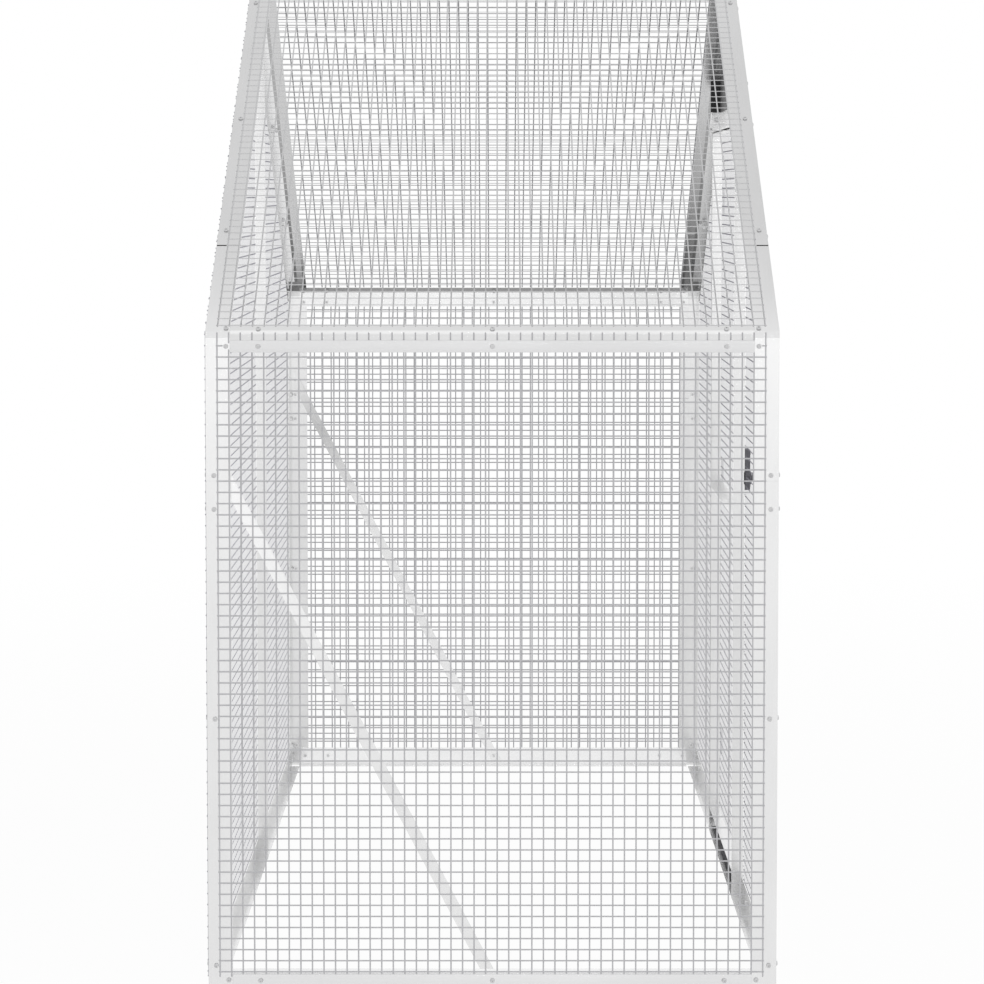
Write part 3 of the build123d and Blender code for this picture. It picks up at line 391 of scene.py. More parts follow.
class Sheet(Board):
    """A new material with its shader, and the patterns it is painted with."""

    MIDDLE: Span = (0.3, 0.7)
    RELIEF: float = 0.0002

    def __init__(self, name: str) -> None:
        """Start a material that has a plain surface shader.

        Args:
            name: name of the material.
        """
        self.material = bpy.data.materials.new(name)
        self.material.use_nodes = True
        super().__init__(self.material.node_tree)
        self.shader = self.tree.nodes["Principled BSDF"]

    def placed(self, stretch: float = 1.0, grain: Grain = Grain.UPRIGHT) -> Socket:
        """Object coordinates, turned and then drawn out along the grain.

        Args:
            stretch: how many times longer the pattern is along the grain.
            grain: the way that it runs.

        Returns:
            The vector to read a pattern with.
        """
        place = self.add("ShaderNodeTexCoord")
        mapping = self.add("ShaderNodeMapping", vector_type="TEXTURE")
        mapping.inputs["Rotation"].default_value = [math.radians(angle) for angle in grain.value]
        mapping.inputs["Scale"].default_value = (1.0, 1.0, stretch)
        self.join(place.outputs["Object"], mapping.inputs["Vector"])
        return mapping.outputs["Vector"]

    def noise(self, vector: Socket, scale: float, detail: float) -> Socket:
        """Cloudy pattern.

        Args:
            vector: where it is read.
            scale: how fine it is.
            detail: how many finer layers it has.

        Returns:
            The pattern's value.
        """
        cloud = self.add("ShaderNodeTexNoise", Scale=scale, Detail=detail)
        self.join(vector, cloud.inputs["Vector"])
        return cloud.outputs["Fac"]

    def tones(self, value: Socket, stops: list[tuple[float, Colour]]) -> Socket:
        """Colours along a pattern.

        Args:
            value: the pattern.
            stops: places along it and their colours.

        Returns:
            The colour.
        """
        ramp = self.add("ShaderNodeValToRGB")
        elements = ramp.color_ramp.elements
        elements.remove(elements[1])
        elements[0].position = stops[0][0]
        elements[0].color = (*stops[0][1], 1.0)
        for place, colour in stops[1:]:
            elements.new(place).color = (*colour, 1.0)
        self.join(value, ramp.inputs["Fac"])
        return ramp.outputs["Color"]

    def mixed(self, share: Socket, colour: Socket, other: Colour) -> Socket:
        """A colour taken part of the way to another one.

        Args:
            share: how far, from 0 to 1.
            colour: the colour to start from.
            other: the colour that it goes towards.

        Returns:
            The mixed colour.
        """
        mix = self.add("ShaderNodeMix", data_type="RGBA")
        self.join(share, mix.inputs["Factor"])
        colours = [socket for socket in mix.inputs if socket.type == "RGBA"]
        self.join(colour, colours[0])
        colours[1].default_value = (*other, 1.0)
        return next(socket for socket in mix.outputs if socket.type == "RGBA")

    def ranged(self, value: Socket, source: Span, target: Span) -> Socket:
        """A value carried from one range to another and held at its ends.

        Args:
            value: the value.
            source: the range that it comes from.
            target: the range that it goes to.

        Returns:
            The carried value.
        """
        carry = self.add("ShaderNodeMapRange", clamp=True)
        for key, number in zip(("From Min", "From Max", "To Min", "To Max"), (*source, *target)):
            carry.inputs[key].default_value = number
        self.join(value, carry.inputs["Value"])
        return carry.outputs["Result"]

    def along(self, axis: str) -> Socket:
        """Place along an axis of the model.

        Args:
            axis: letter of the axis.

        Returns:
            The place.
        """
        place = self.add("ShaderNodeTexCoord")
        parts = self.add("ShaderNodeSeparateXYZ")
        self.join(place.outputs["Object"], parts.inputs[0])
        return parts.outputs[axis]

    def aside(self) -> Socket:
        """Distance to the left or to the right of the middle."""
        return self.reckoned("ABSOLUTE", self.along("X"))

    def facing(self, side: Vector, amount: float, start: float = 0.0) -> Socket:
        """How squarely a face looks one way.

        Args:
            side: the way.
            amount: value where the face is square to it.
            start: cosine of the angle at which the value begins.

        Returns:
            The value, 0 for the other faces.
        """
        place = self.add("ShaderNodeTexCoord")
        turn = self.add("ShaderNodeVectorMath", operation="DOT_PRODUCT")
        turn.inputs[1].default_value = side
        self.join(place.outputs["Normal"], turn.inputs[0])
        return self.ranged(turn.outputs["Value"], (start, 1.0), (0.0, amount))

    def product(self, first: Socket, second: Socket) -> Socket:
        """Two values multiplied."""
        return self.reckoned("MULTIPLY", first, second)

    def blended(self, first: Socket, second: Socket, weights: Span) -> Socket:
        """Two patterns added up, each with its own weight."""
        return self.reckoned("MULTIPLY_ADD", first, weights[0], self.reckoned("MULTIPLY", second, weights[1]))

    def shares(self, value: Socket, levels: Levels) -> Socket:
        """Shares that a value runs through.

        Args:
            value: the value, such as the height.
            levels: values, going up, and the share at each.

        Returns:
            The share at the value.
        """
        low, high = levels[0][0], levels[-1][0]
        place = self.ranged(value, (low, high), (0.0, 1.0))
        return self.tones(place, [((level - low) / (high - low), (share,) * 3) for level, share in levels])

    def dimmed(self, colour: Socket, value: Socket, levels: Levels) -> Socket:
        """A colour that is dimmed by a value, such as the height.

        Args:
            colour: the full colour.
            value: what dims it.
            levels: values, going up, and the share of the colour that is left at each.

        Returns:
            The dimmed colour.
        """
        dim = self.add("ShaderNodeVectorMath", operation="MULTIPLY")
        self.join(colour, dim.inputs[0])
        self.join(self.shares(value, levels), dim.inputs[1])
        return dim.outputs["Vector"]

    def finished(
        self, colour: Socket, shine: tuple[Socket, Span], relief: tuple[Socket, float], metal: float = 0.0
    ) -> Material:
        """Join the finished patterns to the shader.

        Args:
            colour: the colour.
            shine: a pattern, and the roughness where it is low and where it is high.
            relief: the pattern of the fine relief, and how far it shows.
            metal: how far the surface is bare metal.

        Returns:
            The material.
        """
        inputs = self.shader.inputs
        self.join(colour, inputs["Base Color"])
        self.join(self.ranged(shine[0], self.MIDDLE, shine[1]), inputs["Roughness"])
        inputs["Metallic"].default_value = metal
        bump = self.add("ShaderNodeBump", Strength=relief[1], Distance=self.RELIEF)
        self.join(relief[0], bump.inputs["Height"])
        self.join(bump.outputs["Normal"], inputs["Normal"])
        return self.material


@dataclass(frozen=True)
class EdgeShade:
    """Painted shade along a bar, between two distances from the middle, its amount changing with the height.
    """

    reach: Span
    heights: Span
    amounts: Span
    ease: float = 0.0012

    def share(self, sheet: Sheet) -> Socket:
        """How much of the colour is painted shade.

        Args:
            sheet: the material in the making.

        Returns:
            The share of painted shade in the colour.
        """
        near, far = self.reach
        inner = sheet.ranged(sheet.aside(), (near - self.ease, near), (0.0, 1.0))
        outer = sheet.ranged(sheet.aside(), (far, far + self.ease), (1.0, 0.0))
        amount = sheet.ranged(sheet.along("Z"), self.heights, self.amounts)
        return sheet.product(sheet.product(inner, outer), amount)


@dataclass(frozen=True)
class Aluminium:
    """Mill-finish aluminium with faint drawing lines along the bar.

    Its underside is darkened with painted shade, fading out between two heights if they are given, and so are
    the faces that look one of the shaded ways. Levels dim it by height, painting light and shade. Painted
    shade may lie along an edge, and in stretches along the depth on the faces that look inward.
    """

    name: str
    tone: Colour
    grain: Grain
    metal: float = 0.85
    shine: Span = (0.16, 0.26)
    contrast: Span = (0.955, 1.035)
    underside_shade: float = 0.15
    underside_shade_fade: Span | None = None
    right_only: bool = False
    side_shade: float = 0.9
    shaded_sides: tuple[Vector, ...] = ()
    levels: Levels = ()
    edge: EdgeShade | None = None
    inward: Vector | None = None
    inside: Levels = ()

    def make(self) -> Material:
        """Paint the bar with its lines and its painted light and shade.

        Returns:
            The material.
        """
        sheet = Sheet(self.name)
        lines = sheet.noise(sheet.placed(stretch=60.0, grain=self.grain), scale=700.0, detail=2.0)
        clouds = sheet.noise(sheet.placed(stretch=4.0, grain=self.grain), scale=9.0, detail=3.0)
        dark, light = (tuple(min(1.0, share * value) for value in self.tone) for share in self.contrast)
        pattern = sheet.blended(lines, clouds, weights=(0.35, 0.65))
        colour = sheet.tones(pattern, [(0.32, dark), (0.5, self.tone), (0.68, light)])
        if self.levels:
            colour = sheet.dimmed(colour, sheet.along("Z"), self.levels)
        # Painted shade along an edge
        if self.edge:
            colour = sheet.mixed(self.edge.share(sheet), colour, PAINTED_SHADE_GREY)
        # Painted shade in stretches on the faces that look inward
        if self.inward:
            stretches = sheet.shares(sheet.along("Y"), self.inside)
            inward_shade = sheet.product(sheet.facing(self.inward, amount=1.0, start=0.5), stretches)
            colour = sheet.mixed(inward_shade, colour, PAINTED_SHADE_GREY)
        # Painted shade on the underside, and on the faces that look the shaded ways
        colour = sheet.mixed(self.dust(sheet), colour, PAINTED_SHADE_GREY)
        for way in self.shaded_sides:
            colour = sheet.mixed(sheet.facing(way, self.side_shade, SQUARE_ON), colour, PAINTED_SHADE_GREY)
        return sheet.finished(colour, (lines, self.shine), relief=(lines, 0.12), metal=self.metal)

    def dust(self, sheet: Sheet) -> Socket:
        """How much painted shade darkens the underside.

        Args:
            sheet: the material in the making.

        Returns:
            The share of painted shade in the colour.
        """
        share = sheet.facing(-Z, self.underside_shade)
        if self.underside_shade_fade:
            share = sheet.product(share, sheet.ranged(sheet.along("Z"), self.underside_shade_fade, (1.0, 0.0)))
        if self.right_only:
            share = sheet.product(share, sheet.ranged(sheet.along("X"), (0.0, 0.1), (0.0, 1.0)))
        return share


@dataclass(frozen=True)
class ZincCoat:
    """Zinc on steel, with the fine cloudy spangle of a dipped or plated coat."""

    name: str
    dull: Colour
    bright: Colour
    spangle: float = 900.0
    shine: Span = (0.28, 0.42)
    metal: float = 0.8
    lit_side: Vector | None = None
    paleness: float = 0.0

    def make(self) -> Material:
        """Paint the coat with its spangle, and with painted light on the side that faces the lit way.

        Returns:
            The material.
        """
        sheet = Sheet(self.name)
        place = sheet.placed()
        cells = sheet.add("ShaderNodeTexVoronoi", Scale=self.spangle)
        sheet.join(place, cells.inputs["Vector"])
        clouds = sheet.noise(place, scale=self.spangle / 6, detail=3.0)
        pattern = sheet.blended(cells.outputs["Distance"], clouds, weights=(0.4, 0.7))
        colour = sheet.tones(pattern, [(0.3, self.dull), (0.7, self.bright)])
        # Painted light: the faces that look the lit way are lightened towards white
        if self.lit_side:
            colour = sheet.mixed(sheet.facing(self.lit_side, self.paleness), colour, LIGHT_WHITE)
        return sheet.finished(colour, (clouds, self.shine), relief=(clouds, 0.15), metal=self.metal)


@dataclass(frozen=True)
class BlackPlastic:
    """Moulded black plastic with a fine grain, greyed a little where it is handled."""

    name: str = "black_plastic"
    deep: Colour = (0.020, 0.020, 0.023)
    worn: Colour = (0.055, 0.055, 0.060)
    shine: Span = (0.42, 0.58)

    def make(self) -> Material:
        """Paint the plastic with its grain and its wear.

        Returns:
            The material.
        """
        sheet = Sheet(self.name)
        grain = sheet.noise(sheet.placed(), scale=2600.0, detail=2.0)
        wear = sheet.noise(sheet.placed(), scale=55.0, detail=4.0)
        colour = sheet.tones(wear, [(0.35, self.deep), (0.72, self.worn)])
        return sheet.finished(colour, (wear, self.shine), relief=(grain, 0.2))


@dataclass(frozen=True)
class DarkSheet:
    """Dark coated sheet metal with paler streaks that run down it."""

    name: str = "dark_sheet"
    deep: Colour = (0.030, 0.030, 0.032)
    streak: Colour = (0.17, 0.17, 0.175)
    shine: Span = (0.40, 0.55)
    metal: float = 0.2

    def make(self) -> Material:
        """Paint the sheet with its streaks.

        Returns:
            The material.
        """
        sheet = Sheet(self.name)
        streaks = sheet.noise(sheet.placed(stretch=30.0), scale=22.0, detail=3.0)
        fine = sheet.noise(sheet.placed(stretch=8.0), scale=260.0, detail=2.0)
        colour = sheet.tones(streaks, [(0.42, self.deep), (0.56, self.deep), (0.70, self.streak)])
        return sheet.finished(colour, (fine, self.shine), relief=(fine, 0.1), metal=self.metal)


Finish = Aluminium | ZincCoat | BlackPlastic | DarkSheet


class WireTone(Enum):
    """Dull and bright tone of the wire, lighter or darker by the place of the panel as painted light and
    shade.
    """

    WALL = ((0.335, 0.335, 0.350), (0.45, 0.45, 0.467))
    LEFT_GABLE = ((0.235, 0.230, 0.270), (0.325, 0.320, 0.365))
    RIGHT_GABLE = ((0.175, 0.170, 0.203), (0.25, 0.245, 0.283))
    ROOF = ((0.255, 0.255, 0.267), (0.35, 0.35, 0.363))


class Finishes:
    """All the finishes of the aviary, each made once and looked up by name."""

    # Tones of the one aluminium: RAFTER is darker as painted shade on the roof, and BRIGHT lighter as painted
    # light on the uprights, braces and eave rails
    BAR: Colour = (0.86, 0.86, 0.863)
    BASE: Colour = (0.91, 0.91, 0.913)
    RAFTER: Colour = (0.765, 0.765, 0.768)
    STRIP: Colour = (0.78, 0.78, 0.785)
    BRIGHT: Colour = (0.97, 0.97, 0.972)
    # Painted light and shade by height: uprights lighter at the top and darker towards the ground
    UPRIGHT_LEVELS: Levels = ((0.0, 0.825), (0.7, 0.815), (1.1, 0.87), (1.4, 0.94), (1.8, 0.98))
    # Painted light on the rafters near the eave, turning to painted shade up the slope
    ROOF_LEVELS: Levels = ((1.44, 1.0), (1.52, 0.93), (1.59, 0.895), (1.66, 0.845), (2.28, 0.86))
    # Painted highlight along the fold of the front eave rail
    FOLD_LEVELS: Levels = ((1.4285, 0.765), (1.4325, 0.90), (1.4355, 0.90), (1.4395, 0.735))
    STRIP_LEVELS: Levels = ((0.05, 1.0), (1.38, 0.955))
    # Painted shade: a dark line along the liners' free edge, and dark feet on the rear rafters near the eave
    LINER_EDGE: EdgeShade = EdgeShade(reach=(0.586, 0.5942), heights=(1.55, 1.95), amounts=(0.87, 0.50))
    RAFTER_EDGE: EdgeShade = EdgeShade(reach=(0.560, 0.5695), heights=(1.48, 1.57), amounts=(0.92, 0.0))
    # Painted shade in stretches along the inside of the gable base rails
    RAIL_SHADE: dict[Wall, Levels] = {
        Wall.LEFT: ((-0.90, 0.0), (-0.70, 0.4), (1.00, 0.4), (1.12, 0.6)),
        Wall.RIGHT: (
            (-0.80, 0.0), (-0.64, 0.5), (-0.45, 0.7), (-0.08, 0.68), (0.03, 0.1), (0.50, 0.0), (0.60, 0.4),
            (1.05, 0.36), (1.12, 0.6),
        ),
    }
    # Painted light and shade by height on the braces: lighter towards the top, with a painted shadow across
    # the rear brace
    BRACE_LEVELS: dict[Wall, Levels] = {
        Wall.FRONT: ((0.0, 0.825), (0.6, 0.82), (0.72, 0.875), (0.8, 0.90), (1.18, 0.97)),
        Wall.REAR: ((0.1, 0.89), (0.8, 0.895), (0.87, 0.80), (1.02, 0.61), (1.10, 0.72), (1.18, 0.89)),
    }
    # Painted light on the outer side of the wire, more where it faces up
    PALENESS: float = 0.15
    PAINTED_LIGHT_UPWARD: float = 0.33

    def __init__(self) -> None:
        """Start with nothing made."""
        self.made: dict[str, Material] = {}

    def get(self, finish: Finish) -> Material:
        """The material of a finish, made the first time it is asked for.

        Args:
            finish: the finish.

        Returns:
            The material.
        """
        if finish.name not in self.made:
            self.made[finish.name] = finish.make()
        return self.made[finish.name]

    def bar(self, grain: Grain) -> Material:
        """Aluminium of the level bars, with its grain a given way."""
        return self.get(Aluminium(f"aluminium_{grain.label}", self.BAR, grain))

    def upright(self, grain: Grain) -> Material:
        """Aluminium of the uprights, with painted shade darkening it towards the ground."""
        return self.get(Aluminium(f"aluminium_{grain.label}", self.BRIGHT, grain, levels=self.UPRIGHT_LEVELS))

    def brace(self, side: Wall) -> Material:
        """Aluminium of the brace of one wall, with painted light and shade by height."""
        name, levels = f"aluminium_brace_{side.label}", self.BRACE_LEVELS[side]
        return self.get(Aluminium(name, self.BRIGHT, Grain.BRACE, levels=levels))

    def base(self, grain: Grain) -> Material:
        """Brighter aluminium of the base rails."""
        return self.get(Aluminium(f"base_{grain.label}", self.BASE, grain))

    def side_base(self, side: Wall) -> Material:
        """Aluminium of the base rail under a gable, with painted shade on its inside."""
        name, inward_shade = f"base_{side.label}", self.RAIL_SHADE[side]
        return self.get(Aluminium(name, self.BASE, Grain.ALONG_Y, inward=-side.out, inside=inward_shade))

    def liner(self, dusty: Span) -> Material:
        """Aluminium of the rafter liners, with painted shade beside the door and on the faces seen through
        the seams.

        Args:
            dusty: heights between which the painted shade fades out.

        Returns:
            The material.
        """
        outward = (Grain.FRONT_SLOPE.turned(-Y), Grain.REAR_SLOPE.turned(Y))
        return self.get(Aluminium(
            "aluminium_liner", self.BAR, Grain.UPRIGHT, underside_shade=0.65, underside_shade_fade=dusty, right_only=True,
            shaded_sides=outward, edge=self.LINER_EDGE,
        ))

    def rafter(self, grain: Grain, dusty: Span) -> Material:
        """Aluminium of a rafter, with painted light at the eave fading to painted shade up the slope, and
        painted shade on its cut ends.

        Args:
            grain: the slope that it lies on.
            dusty: heights between which the painted shade on its underside fades out.

        Returns:
            The material.
        """
        edge = self.RAFTER_EDGE if grain is Grain.REAR_SLOPE else None
        return self.get(Aluminium(
            f"aluminium_{grain.label}_{dusty[1]:.2f}", self.RAFTER, grain, underside_shade=1.0,
            underside_shade_fade=dusty, shaded_sides=(grain.turned(-Z),), levels=self.ROOF_LEVELS, edge=edge,
        ))

    def eave(self, side: Wall) -> Material:
        """Aluminium of an eave rail, with a painted highlight along the front fold and painted shade under
        the lip.

        Args:
            side: the wall that it is over.

        Returns:
            The material.
        """
        # Painted highlight on the front fold, and painted shade under the lip
        levels, underside_shade = (self.FOLD_LEVELS, 0.7) if side is Wall.FRONT else ((), 0.87)
        name = f"eave_{side.label}"
        return self.get(Aluminium(name, self.BRIGHT, Grain.ALONG_X, metal=0.95, underside_shade=underside_shade, levels=levels))

    def strip(self, grain: Grain) -> Material:
        """Duller aluminium of the clamp strips."""
        return self.get(Aluminium(f"strip_{grain.label}", self.STRIP, grain, levels=self.STRIP_LEVELS))

    def wire(self, name: str, tone: WireTone, out: Vector) -> Material:
        """Galvanised wire of one panel, with painted light on its outer side and most where it faces up.

        Args:
            name: name of the panel.
            tone: tone of the wire there, lighter or darker as painted light and shade.
            out: the way that the panel faces.

        Returns:
            The material.
        """
        paleness = self.PALENESS + self.PAINTED_LIGHT_UPWARD * max(0.0, out.z)
        return self.get(ZincCoat(
            f"wire_{name}", *tone.value, spangle=420.0, shine=(0.38, 0.55), lit_side=out, paleness=paleness
        ))

    def zinc(self) -> Material:
        """Dull plating of the bolts and rivets, which weather outside."""
        return self.get(ZincCoat("plated_zinc", dull=(0.50, 0.50, 0.505), bright=(0.66, 0.66, 0.665)))

    def bright_zinc(self) -> Material:
        """Bright plating of the nuts and hinges."""
        return self.get(ZincCoat("bright_zinc", dull=(0.76, 0.76, 0.765), bright=(0.88, 0.88, 0.885)))

    def plastic(self) -> Material:
        """Black moulded plastic of the latch and the sill."""
        return self.get(BlackPlastic())

    def sheet(self) -> Material:
        """Dark sheet over the doorway."""
        return self.get(DarkSheet())


# Frame bars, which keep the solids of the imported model

@dataclass
class FrameBars:
    """Bars and plates of the frame and the door, each with the finish of its direction.

    The names are those that the nodes start with.
    """

    uprights: tuple[str, ...] = ("post_", "king_post", "door_jamb_", "door_latch_stile", "door_hinge_stile")
    level: dict[str, Grain] = field(default_factory=lambda: {
        "ridge_rail": Grain.ALONG_X,
        "door_lintel": Grain.ALONG_Y,
        "door_top_rail": Grain.ALONG_Y,
        "door_mid_rail": Grain.ALONG_Y,
        "door_bottom_rail": Grain.ALONG_Y,
    })
    # Heights between which the painted shade under each rafter fades out
    dusty: dict[str, Span] = field(default_factory=lambda: {
        "rafter_front_": (1.43, 1.45),
        "rafter_rear_left_": (1.45, 1.545),
        "rafter_rear_right_": (1.55, 1.99),
    })
    moulded: tuple[str, ...] = ("door_sill", "latch_")
    dull_plated: tuple[str, ...] = ("frame_rivets", "door_rivets")
    bright_plated: tuple[str, ...] = ("frame_nuts", "hinge_")

    @staticmethod
    def give(material: Material, *starts: str) -> None:
        """Dress the nodes whose names start a given way.

        Args:
            material: what they are made of.
            starts: starts of their names.
        """
        for node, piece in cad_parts.items():
            if node.startswith(starts):
                dress(piece, material)
                LOG.info("%s: %s", node, material.name)

    def dress(self, finishes: Finishes) -> None:
        """Give every bar its finish.

        Args:
            finishes: where the materials are taken from.
        """
        self.give(finishes.upright(Grain.UPRIGHT), *self.uprights)
        for start, grain in self.level.items():
            self.give(finishes.bar(grain), start)
        for start, heights in self.dusty.items():
            grain = Grain.FRONT_SLOPE if "front" in start else Grain.REAR_SLOPE
            self.give(finishes.rafter(grain, heights), start)
        self.give(finishes.liner(self.dusty["rafter_rear_right_"]), "rafter_liners")
        for side in (Wall.FRONT, Wall.REAR):
            self.give(finishes.eave(side), f"eave_rail_{side.label}")
            self.give(finishes.base(Grain.ALONG_X), f"base_rail_{side.label}")
            self.give(finishes.brace(side), f"brace_{side.label}")
        for side in (Wall.LEFT, Wall.RIGHT):
            self.give(finishes.side_base(side), f"base_rail_{side.label}")
        self.give(finishes.sheet(), "apex_panel")
        self.give(finishes.plastic(), *self.moulded)
        self.give(finishes.zinc(), *self.dull_plated)
        self.give(finishes.bright_zinc(), *self.bright_plated)


# Clamp strips

@dataclass
class ClampStrips:
    """Strips over the edges of the mesh, with eased edges and a rim turned in to the rail."""

    ease: float = 0.0006
    rim: float = 0.0012
    depth: float = 0.0038
    nodes: tuple[str, ...] = ("eave_strips", "base_strips")

    def strip(self, points: np.ndarray, finishes: Finishes) -> Piece:
        """Model one strip in the place of a solid.

        Args:
            points: corners of the solid.
            finishes: where the aluminium is taken from.

        Returns:
            The strip.
        """
        low, high = Vector(points.min(axis=0)), Vector(points.max(axis=0))
        size, middle = high - low, (low + high) / 2
        thin, grain = (X, Grain.ALONG_Y) if size.x < size.y else (Y, Grain.ALONG_X)
        out = thin * math.copysign(1.0, middle.dot(thin))
        let_go()
        bpy.ops.mesh.primitive_cube_add(size=1.0, location=middle)
        strip = bpy.context.object
        strip.scale = size
        bpy.ops.object.transform_apply(location=True, scale=True)
        face = middle.dot(out) + size.dot(thin) / 4
        pick_edges(strip, lambda a, b: min(a.dot(out), b.dot(out)) > face)
        bpy.ops.mesh.bevel(offset=self.ease, segments=2)
        put_down()
        pick_faces(strip, lambda place, normal: normal.dot(out) < -SQUARE_ON)
        bpy.ops.transform.translate(value=-out * self.depth)
        bpy.ops.mesh.inset(thickness=self.rim)
        pull(out * self.depth)
        put_down()
        dress(strip, finishes.strip(grain))
        return strip

    def build(self, finishes: Finishes) -> list[Piece]:
        """Model all the strips.

        Args:
            finishes: where the aluminium is taken from.

        Returns:
            The strips at the eaves and the strips at the base, each as one piece.
        """
        made = []
        for node in self.nodes:
            strips = gather([self.strip(points, finishes) for points in solids_of(node)], f"rimmed_{node}")
            smooth(strips, degrees=35.0)
            made.append(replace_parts(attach(strips, "frame"), node))
        return made


# Bolts

@dataclass(frozen=True)
class BoltPlace:
    """Where a bolt sits: the point under its head, the way its head faces, and its shank length."""

    seat: Vector
    out: Vector
    length: float


@dataclass
class Bolts:
    """Dome-headed bolts with a round socket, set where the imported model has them."""

    head_radius: float = 0.0052
    head_height: float = 0.0036
    dome: float = 0.0026
    shank_radius: float = 0.0030
    chamfer: float = 0.0004
    socket_radius: float = 0.0019
    socket_depth: float = 0.0016
    sides: int = 18
    rim_share: float = 0.9
    places: list[BoltPlace] = field(default_factory=list)

    def find(self) -> None:
        """Read the places of the bolts from their solids."""
        for points in solids_of("frame_bolts"):
            middle = points.mean(axis=0)
            strengths, ways = np.linalg.eigh(np.cov((points - middle).T))
            odd = int(np.argmax(np.abs(strengths - np.median(strengths))))
            axis = ways[:, odd]
            along = (points - middle) @ axis
            around = np.linalg.norm(points - middle - np.outer(along, axis), axis=1)
            rim = float(along[around > self.rim_share * self.head_radius].mean())
            reaches = along.min() - rim, along.max() - rim
            shank = max(reaches, key=abs)
            seat = Vector(middle + rim * axis)
            out = Vector(-math.copysign(1.0, shank) * axis)
            self.places.append(BoltPlace(seat, out, abs(float(shank))))

    def pattern(self) -> Piece:
        """Model one bolt, its head up and its seat at the origin.

        Returns:
            The bolt, with a shank of a unit length.
        """
        bolt = rod(self.sides, self.head_radius, self.head_height, self.head_height / 2)
        top = self.head_height - HAIR
        pick_edges(bolt, lambda a, b: a.z > top and b.z > top)
        bpy.ops.mesh.bevel(offset=self.dome, segments=3, profile=0.55)
        put_down()
        pick_faces(bolt, lambda middle, normal: middle.z > top and normal.z > SQUARE_ON)
        bpy.ops.mesh.inset(thickness=self.head_radius - self.dome - self.socket_radius)
        pull((0, 0, -self.socket_depth))
        put_down()
        pick_faces(bolt, lambda middle, normal: middle.z < HAIR and normal.z < -SQUARE_ON)
        bpy.ops.mesh.inset(thickness=self.head_radius - self.shank_radius)
        pull((0, 0, -UNIT))
        bpy.ops.mesh.inset(thickness=self.chamfer)
        bpy.ops.transform.translate(value=(0, 0, -self.chamfer))
        put_down()
        return bolt

    def build(self, finishes: Finishes) -> Piece:
        """Copy the pattern to every place.

        Args:
            finishes: where the zinc coat is taken from.

        Returns:
            All the bolts as one piece.
        """
        pattern = self.pattern()
        copies = []
        for place in self.places:
            bolt = copy_mesh(pattern, "bolt")
            for corner in bolt.data.vertices:
                if corner.co.z < -UNIT / 2:
                    corner.co.z += UNIT + self.chamfer - place.length
            turn = place.out.to_track_quat("Z", "Y").to_matrix().to_4x4()
            bolt.data.transform(Matrix.Translation(place.seat) @ turn)
            copies.append(bolt)
        throw_away(pattern)
        bolts = gather(copies, "dome_bolts")
        smooth(bolts, degrees=35.0)
        dress(bolts, finishes.zinc())
        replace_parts(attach(bolts, "frame"), "frame_bolts")
        return bolts


# Welded mesh

@dataclass(frozen=True)
class Weave:
    """Sizes that all the mesh panels share."""

    radius: float = 0.0016
    flatness: float = 0.21
    column_pitch: float = 0.025
    row_pitch: float = 0.024246
    first_row: float = 0.0474
    first_column: float = -0.5897
    columns: int = 48
    column_height: float = 0.0010
    row_height: float = 0.0014
    bead: float = 0.0025
    stub: float = 0.003
    shortest: float = 0.006
    room: float = 0.001
    bolt_room: float = 0.0064
    sides: int = 8

    def rows(self, low: float, high: float) -> list[float]:
        """Heights of the level wires, the same all round the aviary.

        Args:
            low: lowest height.
            high: highest height.

        Returns:
            The heights between the two.
        """
        count = int((high - self.first_row) / self.row_pitch) + 1
        levels = [self.first_row + self.row_pitch * row for row in range(count)]
        return [level for level in levels if low <= level <= high]

    def spread(self, low: float, high: float, pitch: float) -> list[float]:
        """Evenly spaced places from one edge to another, close to a pitch apart."""
        gaps = max(1, round((high - low) / pitch))
        return [low + (high - low) * step / gaps for step in range(gaps + 1)]


class WireStock:
    """Straight flattened wire with a round bead at each cut end, which each length is copied from."""

    def __init__(self, weave: Weave) -> None:
        """Model a unit length of wire, upright from the origin.

        Args:
            weave: sizes of the mesh.
        """
        self.pattern = rod(weave.sides, weave.radius, UNIT - 2 * weave.bead, UNIT / 2)
        pick_faces(self.pattern, lambda middle, normal: True)
        bpy.ops.transform.resize(value=(1.0, weave.flatness, 1.0))
        put_down()
        # The bead swells to the wire's full thickness and then closes: reach, width and depth of each step
        steps = ((0.4, 1.0, 1.0 / weave.flatness), (0.6, 0.55, 0.55))
        for way in (-1, 1):
            pick_faces(self.pattern, lambda middle, normal: normal.z * way > SQUARE_ON)
            for reach, width, depth in steps:
                pull((0, 0, way * reach * weave.bead))
                bpy.ops.transform.resize(value=(width, depth, 1.0))
            put_down()

    def length(self, start: Vector, end: Vector, out: Vector) -> Piece:
        """Cut a wire from one point to another.

        Args:
            start: first end.
            end: second end.
            out: the way that its flat side faces.

        Returns:
            The wire as a piece of its own.
        """
        wire = copy_mesh(self.pattern, "wire")
        run = end - start
        for corner in wire.data.vertices:
            if corner.co.z > UNIT / 2:
                corner.co.z += run.length - UNIT
        along = run.normalized()
        turn = Matrix((out.cross(along), out, along)).transposed().to_4x4()
        turn.translation = start
        wire.data.transform(turn)
        return wire


@dataclass(frozen=True)
class Plane:
    """Plane of a panel: a point on it, and the ways across it, up it and out of it."""

    origin: Vector
    across: Vector
    up: Vector
    out: Vector

    def point(self, u: float, v: float, height: float) -> Vector:
        """Point over the plane."""
        return self.origin + self.across * u + self.up * v + self.out * height


